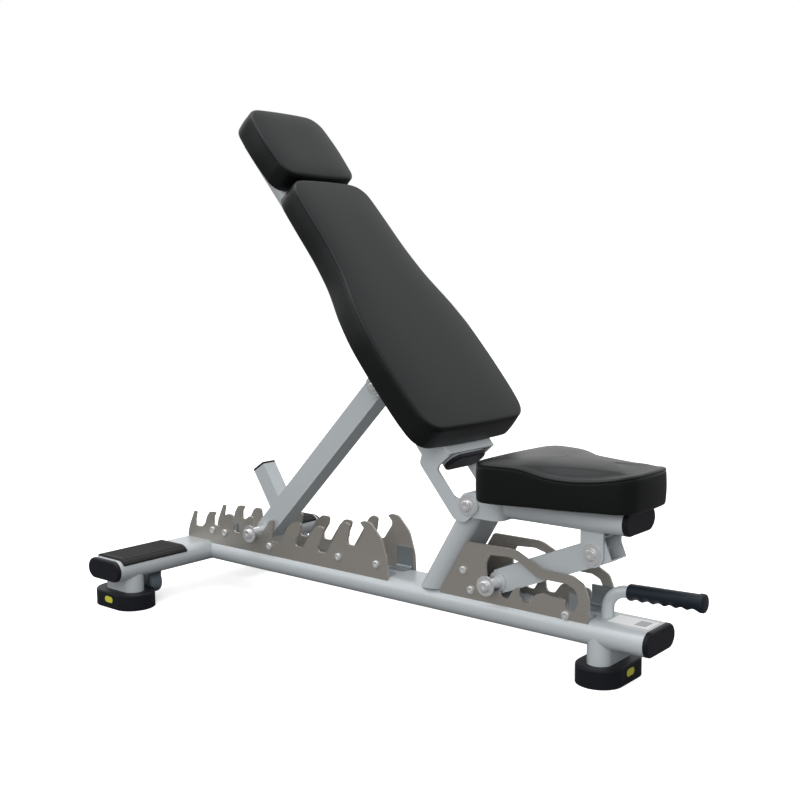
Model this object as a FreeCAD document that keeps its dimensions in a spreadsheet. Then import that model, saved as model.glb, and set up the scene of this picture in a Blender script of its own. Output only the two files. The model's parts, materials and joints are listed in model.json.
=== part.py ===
import FreeCAD, Part
import math
import os
import Sketcher

# Adjustable weight bench.  +X points to the seat end, +Z up, the bench is
# symmetric about Y = 0 and stands on Z = 0.  Lengths are millimetres, angles degrees.
# "Station" means a distance along X measured from the axis of the rear cross tube.

Vector = FreeCAD.Vector
Placement = FreeCAD.Placement
Rotation = FreeCAD.Rotation

DIMENSIONS = [
    # frame tubes
    ("tube_width", 120.0, "flat-oval tube, long way"),
    ("tube_depth", 50.0, "flat-oval tube, short way"),
    ("tube_wall", 3.0, "wall of the flat-oval tube"),
    ("base_top", 120.5, "top face of the base tube above the floor"),
    ("base_end", 1263.0, "station of the front end of the base tube"),
    ("cross_length", 672.0, "rear cross tube without its caps"),
    ("cap_depth", 9.6, "visible depth of a tube cap"),
    ("cap_plug", 20.0, "length of the plug inside a tube"),
    ("cap_round", 5.0, "rounding of a tube cap"),
    ("weld_gap", 0.05, "slit left where a coped tube end meets its neighbour"),
    ("plug_play", 0.3, "clearance of plugs and inserts"),
    # feet
    ("foot_height", 38.0, "height of a rubber foot"),
    ("foot_sink", 6.0, "depth of the pocket that takes the leg tube"),
    ("foot_round", 4.0, "rounding of the top edge of a foot"),
    ("rear_foot_long", 164.0, "rear foot along X"),
    ("rear_foot_wide", 100.0, "rear foot along Y"),
    ("rear_foot_reach", 282.0, "rear foot centre from the middle plane"),
    ("rear_leg_length", 112.0, "rear leg tube along X"),
    ("front_foot_long", 164.0, "front foot along Y"),
    ("front_foot_wide", 96.0, "front foot along X"),
    ("front_foot_station", 1161.5, "station of the front foot"),
    ("insert_length", 30.0, "coloured insert in a foot, long way"),
    ("insert_height", 15.0, "coloured insert in a foot, height"),
    ("insert_depth", 3.0, "coloured insert in a foot, depth"),
    ("insert_level", 21.0, "insert centre above the floor"),
    # step pads
    ("step_start", 136.0, "inner end of a step pad from the middle plane"),
    ("step_length", 190.0, "step pad along the cross tube"),
    ("step_width", 102.0, "step pad across the tube"),
    ("step_thickness", 5.0, "step pad thickness"),
    ("step_shift", 6.0, "step pad centre ahead of the cross tube axis"),
    # pivots
    ("pivot_station", 875.0, "main pivot station"),
    ("pivot_height", 317.7, "main pivot height"),
    ("pivot_bolt", 16.0, "main pivot bolt diameter"),
    ("hub_width", 52.0, "main pivot hub diameter"),
    ("running_play", 0.1, "diametral play of a bolt in a turning bore"),
    ("side_play", 0.5, "play between plates that turn past each other"),
    ("bracket_plate", 6.0, "thickness of brackets and ears"),
    ("washer_width", 42.0, "large washer diameter"),
    ("washer_thickness", 3.0, "washer thickness"),
    ("head_width", 24.0, "button head diameter"),
    ("head_height", 7.0, "button head height"),
    ("socket_width", 9.0, "hexagon socket across corners"),
    ("socket_depth", 4.0, "hexagon socket depth"),
    # post
    ("post_lean", 31.0, "lean of the seat post from vertical"),
    # backrest
    ("back_angle", 50.0, "backrest above horizontal"),
    ("back_tube_start", 104.0, "back tube lower end from the pivot, along the back"),
    ("back_tube_short", 20.0, "upper end of the back tube below the top edge of the headrest"),
    ("back_tube_rise", 3.0, "back tube centre above the pivot, square to the back"),
    ("mount_plate", 6.0, "plates between back tube and pads"),
    ("mount_width", 144.0, "mount plate across the bench"),
    ("board_thickness", 12.0, "plywood board under a cushion"),
    ("board_inset", 6.0, "board edge inside the cushion edge"),
    ("back_cushion", 42.0, "cushion height above its board, backrest"),
    ("pad_start", 122.0, "lower edge of the back pad from the pivot"),
    ("pad_length", 696.0, "back pad length"),
    ("pad_wide", 368.0, "back pad width at the hips"),
    ("pad_narrow", 260.0, "back pad width at the shoulders"),
    ("pad_screw", 11.0, "head of a pad screw, diameter"),
    ("pad_screw_height", 5.0, "head of a pad screw, height"),
    ("pad_screw_inset", 9.0, "pad screw from the side of the back tube"),
    ("pad_screw_middle", 515.0, "middle pad screws from the lower end of the back tube"),
    ("pad_screw_upper", 83.0, "headrest screws from the lower edge of the headrest"),
    ("head_plate_inset", 23.0, "mount plate of the headrest from its lower edge"),
    ("headrest_gap", 8.0, "gap between back pad and headrest"),
    ("headrest_length", 210.0, "headrest length"),
    ("headrest_wide", 252.0, "headrest width, middle"),
    ("headrest_narrow", 236.0, "headrest width, ends"),
    # strut
    ("strut_width", 50.0, "square strut tube"),
    ("strut_wall", 3.0, "strut wall"),
    ("strut_hinge_along", 358.0, "strut hinge from the pivot, along the back"),
    ("strut_hinge_below", 79.0, "strut hinge below the pivot line, square to the back"),
    ("strut_bolt", 12.0, "strut hinge bolt"),
    ("small_washer", 34.0, "strut hinge washer"),
    ("stub_width", 40.0, "square rest stub"),
    ("stub_lean", 57.0, "stub above horizontal, leaning to the rear"),
    ("stub_offset", 71.0, "stub root from the lock pin, along the strut"),
    ("stub_length", 124.0, "stub from the strut axis to its top"),
    # lock pins
    ("pin_width", 25.0, "lock pin diameter"),
    ("pin_length", 144.0, "lock pin length"),
    ("pin_play", 0.5, "clearance between pin and notch at rest"),
    ("sleeve_width", 42.0, "sleeve around a lock pin"),
    # rear ladder
    ("ladder_plate", 5.0, "ladder plate thickness"),
    ("ladder_reach", 51.4, "outer face of the ladder plates from the middle plane"),
    # seat ladder
    ("seat_notch_level", 156.0, "link pin centre in the rear seat notch"),
    ("seat_notch_station", 918.5, "station of the rear seat notch"),
    ("seat_ladder_top", 236.0, "top edge of the seat ladder"),
    ("seat_ladder_end", 1146.0, "station of the front end of the seat ladder"),
    # seat
    ("seat_tube_start", 951.0, "station of the rear end of the seat tube"),
    ("seat_tube_end", 1217.0, "station of the front end of the seat tube"),
    ("seat_rise", 2.0, "seat tube centre above the pivot"),
    ("ear_height", 52.0, "height of the seat bracket ears"),
    ("seat_cushion", 66.0, "cushion height above its board, seat"),
    ("seat_pad_start", 924.0, "station of the rear edge of the seat pad"),
    ("seat_pad_length", 326.0, "seat pad length"),
    ("seat_pad_wide", 300.0, "seat pad width, rear"),
    ("seat_pad_narrow", 170.0, "seat pad width, front"),
    # link
    ("link_width", 60.0, "link tube across the bench"),
    ("link_depth", 50.0, "link tube depth"),
    ("link_hinge_station", 1141.0, "link hinge station"),
    ("link_hinge_height", 249.0, "link hinge height"),
    ("link_overhang", 33.0, "open end of the link past its hinge"),
    # handle
    ("handle_tube", 24.0, "carry handle tube"),
    ("handle_station", 1157.0, "station of the handle foot"),
    ("handle_height", 179.0, "handle axis above the floor"),
    ("handle_bend", 42.0, "bend radius of the handle"),
    ("grip_start", 1204.0, "station where the grip starts"),
    ("grip_end", 1358.0, "station where the grip ends"),
    ("grip_width", 33.0, "grip diameter"),
    # wheels
    ("wheel_width", 56.0, "transport wheel diameter"),
    ("wheel_thick", 34.0, "transport wheel width"),
    ("wheel_gap", 2.5, "gap between a wheel and the underside of the cross tube"),
    ("wheel_reach", 208.0, "wheel centre from the middle plane"),
    ("wheel_axle", 10.0, "wheel axle diameter"),
    ("wheel_plate", 4.0, "wheel bracket thickness"),
]
NOTCH_STATIONS = [2.0, 73.0, 148.0, 216.0, 285.0, 364.0, 439.0, 533.0]
NOTCH_LEVELS = [164.0, 174.0, 167.0, 165.0, 160.0, 163.0, 160.0, 192.0]
LOCKED_NOTCH = 4

doc = FreeCAD.newDocument("weight_bench")
sheet = doc.addObject("Spreadsheet::Sheet", "Dims")


def write_sheet():
    rows = list(DIMENSIONS)
    for number, station in enumerate(NOTCH_STATIONS, 1):
        rows.append(("notch_station_%d" % number, station, "rear notch %d" % number))
    for number, level in enumerate(NOTCH_LEVELS, 1):
        rows.append(("notch_level_%d" % number, level, "pin centre above the floor in rear notch %d" % number))
    for row, (alias, value, note) in enumerate(rows, 1):
        sheet.set("A%d" % row, note)
        sheet.set("B%d" % row, str(value))
        sheet.setAlias("B%d" % row, alias)
    doc.recompute()


def size(alias):
    return float(sheet.get(alias))


write_sheet()

# ---------------------------------------------------------------- derived places

CROSS_X = -(size("grip_end") - size("rear_foot_long") / 2) / 2
BASE_Z = size("base_top") - size("tube_depth") / 2
PIVOT = Vector(CROSS_X + size("pivot_station"), 0, size("pivot_height"))
NODES = []


def station(distance):
    return CROSS_X + distance


def back_point(along, above, side=0.0):
    """A point given along and square to the backrest, measured from the main pivot."""
    tilt = math.radians(size("back_angle"))
    x = -along * math.cos(tilt) + above * math.sin(tilt)
    z = along * math.sin(tilt) + above * math.cos(tilt)
    return PIVOT + Vector(x, side, z)


def heading(start, end):
    """Angle in degrees of the line from start to end, above +X in the XZ plane."""
    return math.degrees(math.atan2(end.z - start.z, end.x - start.x))


def ahead(start, angle, distance):
    turn = math.radians(angle)
    return start + Vector(distance * math.cos(turn), 0, distance * math.sin(turn))


LOCK_PIN = Vector(station(size("notch_station_%d" % LOCKED_NOTCH)), 0, size("notch_level_%d" % LOCKED_NOTCH))
HEADREST_START = size("pad_start") + size("pad_length") + size("headrest_gap")
STRUT_HINGE = back_point(size("strut_hinge_along"), -size("strut_hinge_below"))
STRUT_ANGLE = heading(LOCK_PIN, STRUT_HINGE)
STRUT_LENGTH = (STRUT_HINGE - LOCK_PIN).Length
LINK_PIN = Vector(station(size("seat_notch_station")), 0, size("seat_notch_level"))
LINK_HINGE = Vector(station(size("link_hinge_station")), 0, size("link_hinge_height"))
LINK_ANGLE = heading(LINK_PIN, LINK_HINGE)
LINK_LENGTH = (LINK_HINGE - LINK_PIN).Length
HALF_TUBE = size("tube_width") / 2
# layers outwards from the post: seat bracket ear, then back bracket, then washer
EAR_INNER = HALF_TUBE + 3.0
EAR_OUTER = EAR_INNER + size("bracket_plate")
BRACKET_INNER = EAR_OUTER + size("side_play")
BRACKET_OUTER = BRACKET_INNER + size("bracket_plate")
SIDES = (("left", 1), ("right", -1))

# ---------------------------------------------------------------- modelling helpers


def keep(thing, label):
    thing.Label = label
    NODES.append(thing)
    return thing


def turned(base, angle=0.0):
    """Placement at base, local X turned by angle above +X in the XZ plane."""
    return Placement(base, Rotation(Vector(0, 1, 0), -angle))


def sketch_in(body, role, offset=0.0):
    sketch = body.newObject("Sketcher::SketchObject", body.Name + "Sketch")
    plane = [item for item in body.Origin.OriginFeatures if item.Role == role][0]
    sketch.AttachmentSupport = [(plane, "")]
    sketch.MapMode = "FlatFace"
    sketch.AttachmentOffset = Placement(Vector(0, 0, offset), Rotation())
    return sketch


def bind(sketch, constraint, expression):
    index = sketch.addConstraint(constraint)
    sketch.setExpression("Constraints[%d]" % index, expression)


def obround(sketch, length, height):
    """A flat oval, long way along the sketch's X, sized by two expressions."""
    spread = 20.0
    bulge = 10.0
    top = Part.LineSegment(Vector(-spread, bulge, 0), Vector(spread, bulge, 0))
    low = Part.LineSegment(Vector(spread, -bulge, 0), Vector(-spread, -bulge, 0))
    up = Vector(0, 0, 1)
    ring = Part.Circle(Vector(spread, 0, 0), up, bulge)
    right = Part.ArcOfCircle(ring, -math.pi / 2, math.pi / 2)
    ring = Part.Circle(Vector(-spread, 0, 0), up, bulge)
    left = Part.ArcOfCircle(ring, math.pi / 2, 3 * math.pi / 2)
    first = sketch.addGeometry(top, False)
    second = sketch.addGeometry(right, False)
    third = sketch.addGeometry(low, False)
    fourth = sketch.addGeometry(left, False)
    sketch.addConstraint(Sketcher.Constraint("Tangent", first, 2, second, 2))
    sketch.addConstraint(Sketcher.Constraint("Tangent", second, 1, third, 1))
    sketch.addConstraint(Sketcher.Constraint("Tangent", third, 2, fourth, 2))
    sketch.addConstraint(Sketcher.Constraint("Tangent", fourth, 1, first, 1))
    sketch.addConstraint(Sketcher.Constraint("PointOnObject", second, 3, -1))
    sketch.addConstraint(Sketcher.Constraint("Horizontal", first))
    sketch.addConstraint(Sketcher.Constraint("Symmetric", fourth, 3, second, 3, -1, 1))
    bind(sketch, Sketcher.Constraint("DistanceY", third, 1, first, 2, 2 * bulge), height)
    spacing = "(%s) - (%s)" % (length, height)
    bind(sketch, Sketcher.Constraint("DistanceX", fourth, 3, second, 3, 2 * spread), spacing)


def rectangle(sketch, length, height):
    """A rectangle centred on the sketch's origin, sized by two expressions."""
    corners = [Vector(-10, -10, 0), Vector(10, -10, 0), Vector(10, 10, 0), Vector(-10, 10, 0)]
    lines = []
    for index in range(4):
        line = Part.LineSegment(corners[index], corners[(index + 1) % 4])
        lines.append(sketch.addGeometry(line, False))
    for index in range(4):
        follower = lines[(index + 1) % 4]
        sketch.addConstraint(Sketcher.Constraint("Coincident", lines[index], 2, follower, 1))
        kind = "Horizontal" if index % 2 == 0 else "Vertical"
        sketch.addConstraint(Sketcher.Constraint(kind, lines[index]))
    sketch.addConstraint(Sketcher.Constraint("Symmetric", lines[0], 1, lines[2], 1, -1, 1))
    bind(sketch, Sketcher.Constraint("DistanceX", lines[0], 1, lines[0], 2, 20), length)
    bind(sketch, Sketcher.Constraint("DistanceY", lines[1], 1, lines[1], 2, 20), height)


def disc(sketch, diameter, x=0.0, y=0.0):
    """A circle with its diameter given by an expression."""
    circle = Part.Circle(Vector(x, y, 0), Vector(0, 0, 1), 5.0)
    index = sketch.addGeometry(circle, False)
    bind(sketch, Sketcher.Constraint("Diameter", index, 10.0), diameter)
    sketch.addConstraint(Sketcher.Constraint("DistanceX", -1, 1, index, 3, x))
    sketch.addConstraint(Sketcher.Constraint("DistanceY", -1, 1, index, 3, y))


def outline(sketch, corners):
    """A closed run of straight edges; each corner is (x, y, rounding radius)."""
    count = len(corners)
    starts = []
    ends = []
    middles = []
    for index in range(count):
        x, y, radius = corners[index]
        here = Vector(x, y, 0)
        before = Vector(*corners[index - 1][:2], 0)
        after = Vector(*corners[(index + 1) % count][:2], 0)
        if radius <= 0:
            starts.append(here)
            ends.append(here)
            middles.append(None)
            continue
        inward = (before - here).normalize()
        outward = (after - here).normalize()
        half = inward.getAngle(outward) / 2
        run = radius / math.tan(half)
        run = min(run, 0.49 * (before - here).Length, 0.49 * (after - here).Length)
        radius = run * math.tan(half)
        centre = here + (inward + outward).normalize() * (radius / math.sin(half))
        starts.append(here + inward * run)
        ends.append(here + outward * run)
        middles.append(centre + (here - centre).normalize() * radius)
    for index in range(count):
        if middles[index] is not None:
            arc = Part.Arc(starts[index], middles[index], ends[index])
            sketch.addGeometry(arc, False)
        following = starts[(index + 1) % count]
        if (following - ends[index]).Length > 1e-6:
            sketch.addGeometry(Part.LineSegment(ends[index], following), False)


def pad(body, sketch, length, symmetric=False):
    feature = body.newObject("PartDesign::Pad", body.Name + "Pad")
    feature.Profile = sketch
    feature.setExpression("Length", length)
    if symmetric:
        feature.SideType = "Symmetric"
    return feature


def prism(label, role, draw, length, placement, symmetric=False):
    """A body padded from one sketch: YZ gives a bar along X, XZ a plate, XY an upright."""
    body = doc.addObject("PartDesign::Body", label)
    sketch = sketch_in(body, role)
    draw(sketch)
    pad(body, sketch, length, symmetric)
    body.Placement = placement
    return body


def bar(label, draw, length, placement):
    return prism(label, "YZ_Plane", draw, length, placement)


def plate(label, draw, thickness, placement):
    return prism(label, "XZ_Plane", draw, thickness, placement, True)


def upright(label, draw, height, placement):
    return prism(label, "XY_Plane", draw, height, placement)


def rod(label, diameter, length, centre):
    """A cylinder along Y, centred on a point."""
    cylinder = doc.addObject("Part::Cylinder", label)
    cylinder.setExpression("Radius", "(%s) / 2" % diameter)
    cylinder.setExpression("Height", length)
    doc.recompute()
    start = centre + Vector(0, float(cylinder.Height) / 2, 0)
    cylinder.Placement = Placement(start, Rotation(Vector(1, 0, 0), 90))
    return cylinder


def cut(label, base, *tools):
    result = base
    for number, tool in enumerate(tools, 1):
        trimmed = doc.addObject("Part::Cut", "%s_cut%d" % (label, number))
        trimmed.Base = result
        trimmed.Tool = tool
        result = trimmed
    return result


def fuse(label, *pieces):
    joined = doc.addObject("Part::MultiFuse", label)
    joined.Shapes = list(pieces)
    return joined


def group(label, pieces):
    together = doc.addObject("Part::Compound", label)
    together.Links = list(pieces)
    return together


def washer(label, diameter, bore, centre):
    outer = rod(label + "_disc", diameter, "Dims.washer_thickness", centre)
    inner = rod(label + "_bore", bore, "Dims.washer_thickness * 3", centre)
    return cut(label, outer, inner)


def button_head(label, centre, side, scale="1"):
    """A button head with a hexagon socket; side is the sign of Y that it faces."""
    head = doc.addObject("Part::Cylinder", label + "_head")
    head.setExpression("Radius", "Dims.head_width / 2 * (%s)" % scale)
    head.setExpression("Height", "Dims.head_height * (%s)" % scale)
    doc.recompute()
    height = float(head.Height)
    rounded = doc.addObject("Part::Fillet", label + "_round")
    rounded.Base = head
    rounded.Edges = [(3, 0.55 * height, 0.55 * height)]
    socket = doc.addObject("Part::Prism", label + "_socket")
    socket.Polygon = 6
    socket.setExpression("Circumradius", "Dims.socket_width / 2 * (%s)" % scale)
    socket.setExpression("Height", "Dims.head_height")
    socket.Placement = Placement(Vector(0, 0, height - size("socket_depth") * height
                                        / size("head_height")), Rotation())
    piece = cut(label, rounded, socket)
    piece.Placement = Placement(centre, Rotation(Vector(1, 0, 0), -90 * side))
    return piece


def plug_cap(label, placement):
    """A black cap for the flat-oval tube: local +X points out of the tube's end."""
    cover = bar(label + "_cover", lambda s: obround(s, "Dims.tube_width", "Dims.tube_depth"),
                "Dims.cap_depth", placement)
    doc.recompute()
    edges = []
    for number, edge in enumerate(cover.Shape.Edges, 1):
        middle = placement.inverse().multVec(edge.CenterOfMass)
        if abs(middle.x - size("cap_depth")) < 0.01:
            edges.append((number, size("cap_round"), size("cap_round")))
    rounded = doc.addObject("Part::Fillet", label + "_round")
    rounded.Base = cover
    rounded.Edges = edges
    inner = "2 * (Dims.tube_wall + Dims.plug_play)"
    plug_place = placement * Placement(Vector(-size("cap_plug"), 0, 0), Rotation())
    plug = bar(label + "_plug", lambda s: obround(s, "Dims.tube_width - " + inner,
                                                  "Dims.tube_depth - " + inner),
               "Dims.cap_plug + Dims.cap_depth / 2", plug_place)
    return keep(fuse(label, rounded, plug), label)


def tube_profile(sketch):
    obround(sketch, "Dims.tube_width", "Dims.tube_depth")
    obround(sketch, "Dims.tube_width - 2 * Dims.tube_wall", "Dims.tube_depth - 2 * Dims.tube_wall")


# ---------------------------------------------------------------- base frame


def solid_cross_tube(label, play):
    """The cross tube's outer shape, grown by play, used to cope what meets it."""
    place = Placement(Vector(CROSS_X, 0, BASE_Z), Rotation())
    return plate(label, lambda s: obround(s, "Dims.tube_width + 2 * (%s)" % play,
                                          "Dims.tube_depth + 2 * (%s)" % play),
                 "Dims.cross_length", place)


def solid_base_tube(label, play):
    base = Vector(CROSS_X, 0, BASE_Z)
    return bar(label, lambda s: obround(s, "Dims.tube_width + 2 * (%s)" % play,
                                        "Dims.tube_depth + 2 * (%s)" % play),
               "Dims.base_end", Placement(base, Rotation()))


def frame_tubes():
    cross = plate("rear_cross_tube", tube_profile, "Dims.cross_length",
                  Placement(Vector(CROSS_X, 0, BASE_Z), Rotation()))
    keep(cross, "rear_cross_tube")
    start = station(HALF_TUBE - size("tube_depth") / 2)
    length = "Dims.base_end - Dims.tube_width / 2 + Dims.tube_depth / 2"
    tube = bar("base_tube_raw", tube_profile, length, Placement(Vector(start, 0, BASE_Z), Rotation()))
    coping = solid_cross_tube("base_tube_coping", "Dims.weld_gap")
    keep(cut("base_tube", tube, coping), "base_tube")
    front = Placement(Vector(station(size("base_end")), 0, BASE_Z), Rotation())
    plug_cap("front_end_cap", front)
    for name, side in SIDES:
        end = Vector(CROSS_X, side * size("cross_length") / 2, BASE_Z)
        plug_cap("rear_end_cap_" + name, Placement(end, Rotation(Vector(0, 0, 1), 90 * side)))


def seat_post():
    """The leaning post and the round hub that carries the main pivot bolt."""
    lean = 90 - size("post_lean")
    foot = size("base_top") - size("tube_depth")
    length = (PIVOT.z - foot) / math.sin(math.radians(lean))
    start = ahead(PIVOT, lean, -length)
    body = doc.addObject("PartDesign::Body", "seat_post_raw")
    sketch = sketch_in(body, "YZ_Plane")
    tube_profile(sketch)
    feature = body.newObject("PartDesign::Pad", "seat_post_pad")
    feature.Profile = sketch
    feature.Length = length
    body.Placement = turned(start, lean)
    hub_hole = rod("seat_post_cope", "Dims.hub_width + 2 * Dims.weld_gap", "Dims.tube_width * 2", PIVOT)
    ground = doc.addObject("Part::Box", "seat_post_foot_cut")
    ground.Length = 4 * size("tube_width")
    ground.Width = 2 * size("tube_width")
    ground.setExpression("Height", "Dims.base_top + Dims.weld_gap")
    ground.Placement = Placement(Vector(start.x - 2 * size("tube_width"), -size("tube_width"), 0), Rotation())
    keep(cut("seat_post", body, ground, hub_hole), "seat_post")
    hub = rod("pivot_hub_raw", "Dims.hub_width", "Dims.tube_width", PIVOT)
    bore = rod("pivot_hub_bore", "Dims.pivot_bolt + Dims.running_play", "Dims.tube_width * 2", PIVOT)
    keep(cut("pivot_hub", hub, bore), "pivot_hub")


def pivot_hardware():
    reach = BRACKET_OUTER + 0.2 + size("washer_thickness")
    shaft = rod("main_pivot_shaft", "Dims.pivot_bolt", str(2 * reach + 1), PIVOT)
    heads = []
    washers = []
    for name, side in SIDES:
        head_at = PIVOT + Vector(0, side * reach, 0)
        heads.append(button_head("main_pivot_head_" + name, head_at, side))
        middle = PIVOT + Vector(0, side * (reach - size("washer_thickness") / 2), 0)
        washers.append(washer("main_pivot_washer_" + name, "Dims.washer_width",
                              "Dims.pivot_bolt + Dims.running_play", middle))
    keep(fuse("main_pivot_bolt", shaft, *heads), "main_pivot_bolt")
    keep(group("main_pivot_washers", washers), "main_pivot_washers")


# ---------------------------------------------------------------- feet and steps


def rubber_foot(label, centre, long_way, wide_way, leg_long, leg_wide, spin, insert_at, insert_spin):
    """A flat-oval rubber foot with a pocket for the leg and a window for its insert."""
    place = Placement(Vector(centre.x, centre.y, 0), Rotation(Vector(0, 0, 1), spin))
    block = upright(label + "_block", lambda s: obround(s, long_way, wide_way), "Dims.foot_height", place)
    doc.recompute()
    edges = []
    for number, edge in enumerate(block.Shape.Edges, 1):
        if abs(edge.CenterOfMass.z - size("foot_height")) < 0.01:
            edges.append((number, size("foot_round"), size("foot_round")))
    rounded = doc.addObject("Part::Fillet", label + "_round")
    rounded.Base = block
    rounded.Edges = edges
    pocket_floor = size("foot_height") - size("foot_sink")
    pocket_place = Placement(Vector(centre.x, centre.y, pocket_floor), place.Rotation)
    play = " + 2 * Dims.plug_play"
    pocket = upright(label + "_pocket", lambda s: obround(s, leg_long + play, leg_wide + play),
                     "Dims.foot_height", pocket_place)
    window = insert_block(label + "_window", insert_at, insert_spin, "Dims.plug_play / 3")
    return keep(cut(label, rounded, pocket, window), label)


def insert_block(label, face, spin, play):
    """A flat-oval block whose outer face lies at face, sunk into the foot."""
    body = doc.addObject("PartDesign::Body", label)
    sketch = sketch_in(body, "XZ_Plane")
    obround(sketch, "Dims.insert_length + 2 * (%s)" % play, "Dims.insert_height + 2 * (%s)" % play)
    pad(body, sketch, "2 * Dims.insert_depth", True)
    body.Placement = Placement(face, Rotation(Vector(0, 0, 1), spin))
    return body


def feet():
    inserts = []
    stubs = []
    leg_foot = size("foot_height") - size("foot_sink") + 0.2
    cope_cross = solid_cross_tube("leg_cope_cross", "Dims.weld_gap")
    cope_base = solid_base_tube("leg_cope_base", "Dims.weld_gap")
    places = []
    for name, side in SIDES:
        centre = Vector(CROSS_X, side * size("rear_foot_reach"), 0)
        face = centre + Vector(0, side * size("rear_foot_wide") / 2, size("insert_level"))
        rubber_foot("rear_foot_" + name, centre, "Dims.rear_foot_long", "Dims.rear_foot_wide",
                    "Dims.rear_leg_length", "Dims.tube_depth", 0, face, 0)
        places.append((name, centre, face, 0, "Dims.rear_leg_length", cope_cross))
    centre = Vector(station(size("front_foot_station")), 0, 0)
    face = centre + Vector(size("front_foot_wide") / 2, 0, size("insert_level"))
    rubber_foot("front_foot", centre, "Dims.front_foot_long", "Dims.front_foot_wide",
                "Dims.tube_width", "Dims.tube_depth", 90, face, 90)
    places.append(("front", centre, face, 90, "Dims.tube_width", cope_base))
    for name, centre, face, spin, leg_long, cope in places:
        turn = Rotation(Vector(0, 0, 1), spin)
        leg_place = Placement(Vector(centre.x, centre.y, leg_foot), turn)

        def leg_profile(sketch, long_way=leg_long):
            obround(sketch, long_way, "Dims.tube_depth")
            obround(sketch, long_way + " - 2 * Dims.tube_wall", "Dims.tube_depth - 2 * Dims.tube_wall")

        leg = upright("leg_raw_" + name, leg_profile,
                      "Dims.base_top - Dims.tube_depth / 2 - Dims.foot_height + Dims.foot_sink - 2 * Dims.weld_gap",
                      leg_place)
        stubs.append(cut("leg_" + name, leg, cope))
        raw = insert_block("insert_raw_" + name, face, spin, "0")
        outside = upright("insert_trim_" + name, lambda s, c=name: obround(
            s, "Dims.front_foot_long" if c == "front" else "Dims.rear_foot_long",
            "Dims.front_foot_wide" if c == "front" else "Dims.rear_foot_wide"),
            "Dims.foot_height", Placement(Vector(centre.x, centre.y, 0), turn))
        common = doc.addObject("Part::MultiCommon", "insert_" + name)
        common.Shapes = [raw, outside]
        inserts.append(common)
    keep(group("foot_stubs", stubs), "foot_stubs")
    keep(group("foot_inserts", inserts), "foot_inserts")


def step_pads():
    """Rubber treads that hug the top of the cross tube and wrap over its edges."""
    for name, side in SIDES:
        label = "step_pad_" + name
        middle = side * (size("step_start") + size("step_length") / 2)
        shell = plate(label + "_shell",
                      lambda s: obround(s, "Dims.tube_width + 2 * Dims.step_thickness",
                                        "Dims.tube_depth + 2 * Dims.step_thickness"),
                      "Dims.step_length", Placement(Vector(CROSS_X, middle, BASE_Z), Rotation()))
        reach = Vector(station(size("step_shift")), middle, BASE_Z)
        window = upright(label + "_window", lambda s: rectangle(s, "Dims.step_width", "Dims.step_length * 2"),
                         "Dims.tube_depth", Placement(reach, Rotation()))
        top = doc.addObject("Part::MultiCommon", label + "_top")
        top.Shapes = [shell, window]
        core = solid_cross_tube(label + "_core", "Dims.weld_gap")
        keep(cut(label, top, core), label)


def wheels():
    """Two rollers under the cross tube, each on an axle between two hanging plates."""
    brackets = []
    under = size("base_top") - size("tube_depth")
    level = under - size("wheel_gap") - size("wheel_width") / 2
    low = level - 11.0
    top = under - size("weld_gap")
    for name, side in SIDES:
        centre = Vector(CROSS_X, side * size("wheel_reach"), level)
        for place in (-1, 1):
            reach = (size("wheel_thick") + size("wheel_plate")) / 2 + 1.0
            at = Vector(centre.x, centre.y + place * reach, 0)
            corners = [(-18, top, 0), (-11, low, 11), (11, low, 11), (18, top, 0)]
            tag = "wheel_plate_%s_%d" % (name, place + 1)
            ear = plate(tag, lambda s: outline(s, corners), "Dims.wheel_plate", Placement(at, Rotation()))
            brackets.append(ear)
        axle = rod("wheel_axle_" + name, "Dims.wheel_axle",
                   "Dims.wheel_thick + 2 * Dims.wheel_plate + 5", centre)
        hole = rod("wheel_hole_" + name, "Dims.wheel_axle", "Dims.tube_width", centre)
        brackets[-2] = cut("wheel_ear_a_" + name, brackets[-2], hole)
        brackets[-1] = cut("wheel_ear_b_" + name, brackets[-1], hole)
        brackets.append(axle)
        roller = rod("wheel_raw_" + name, "Dims.wheel_width", "Dims.wheel_thick", centre)
        doc.recompute()
        rounded = doc.addObject("Part::Fillet", "wheel_round_" + name)
        rounded.Base = roller
        rounded.Edges = [(2, 5.0, 5.0), (3, 5.0, 5.0)]
        bore = rod("wheel_bore_" + name, "Dims.wheel_axle + Dims.running_play", "Dims.tube_width", centre)
        keep(cut("wheel_" + name, rounded, bore), "wheel_" + name)
    keep(group("wheel_brackets", brackets), "wheel_brackets")


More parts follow.
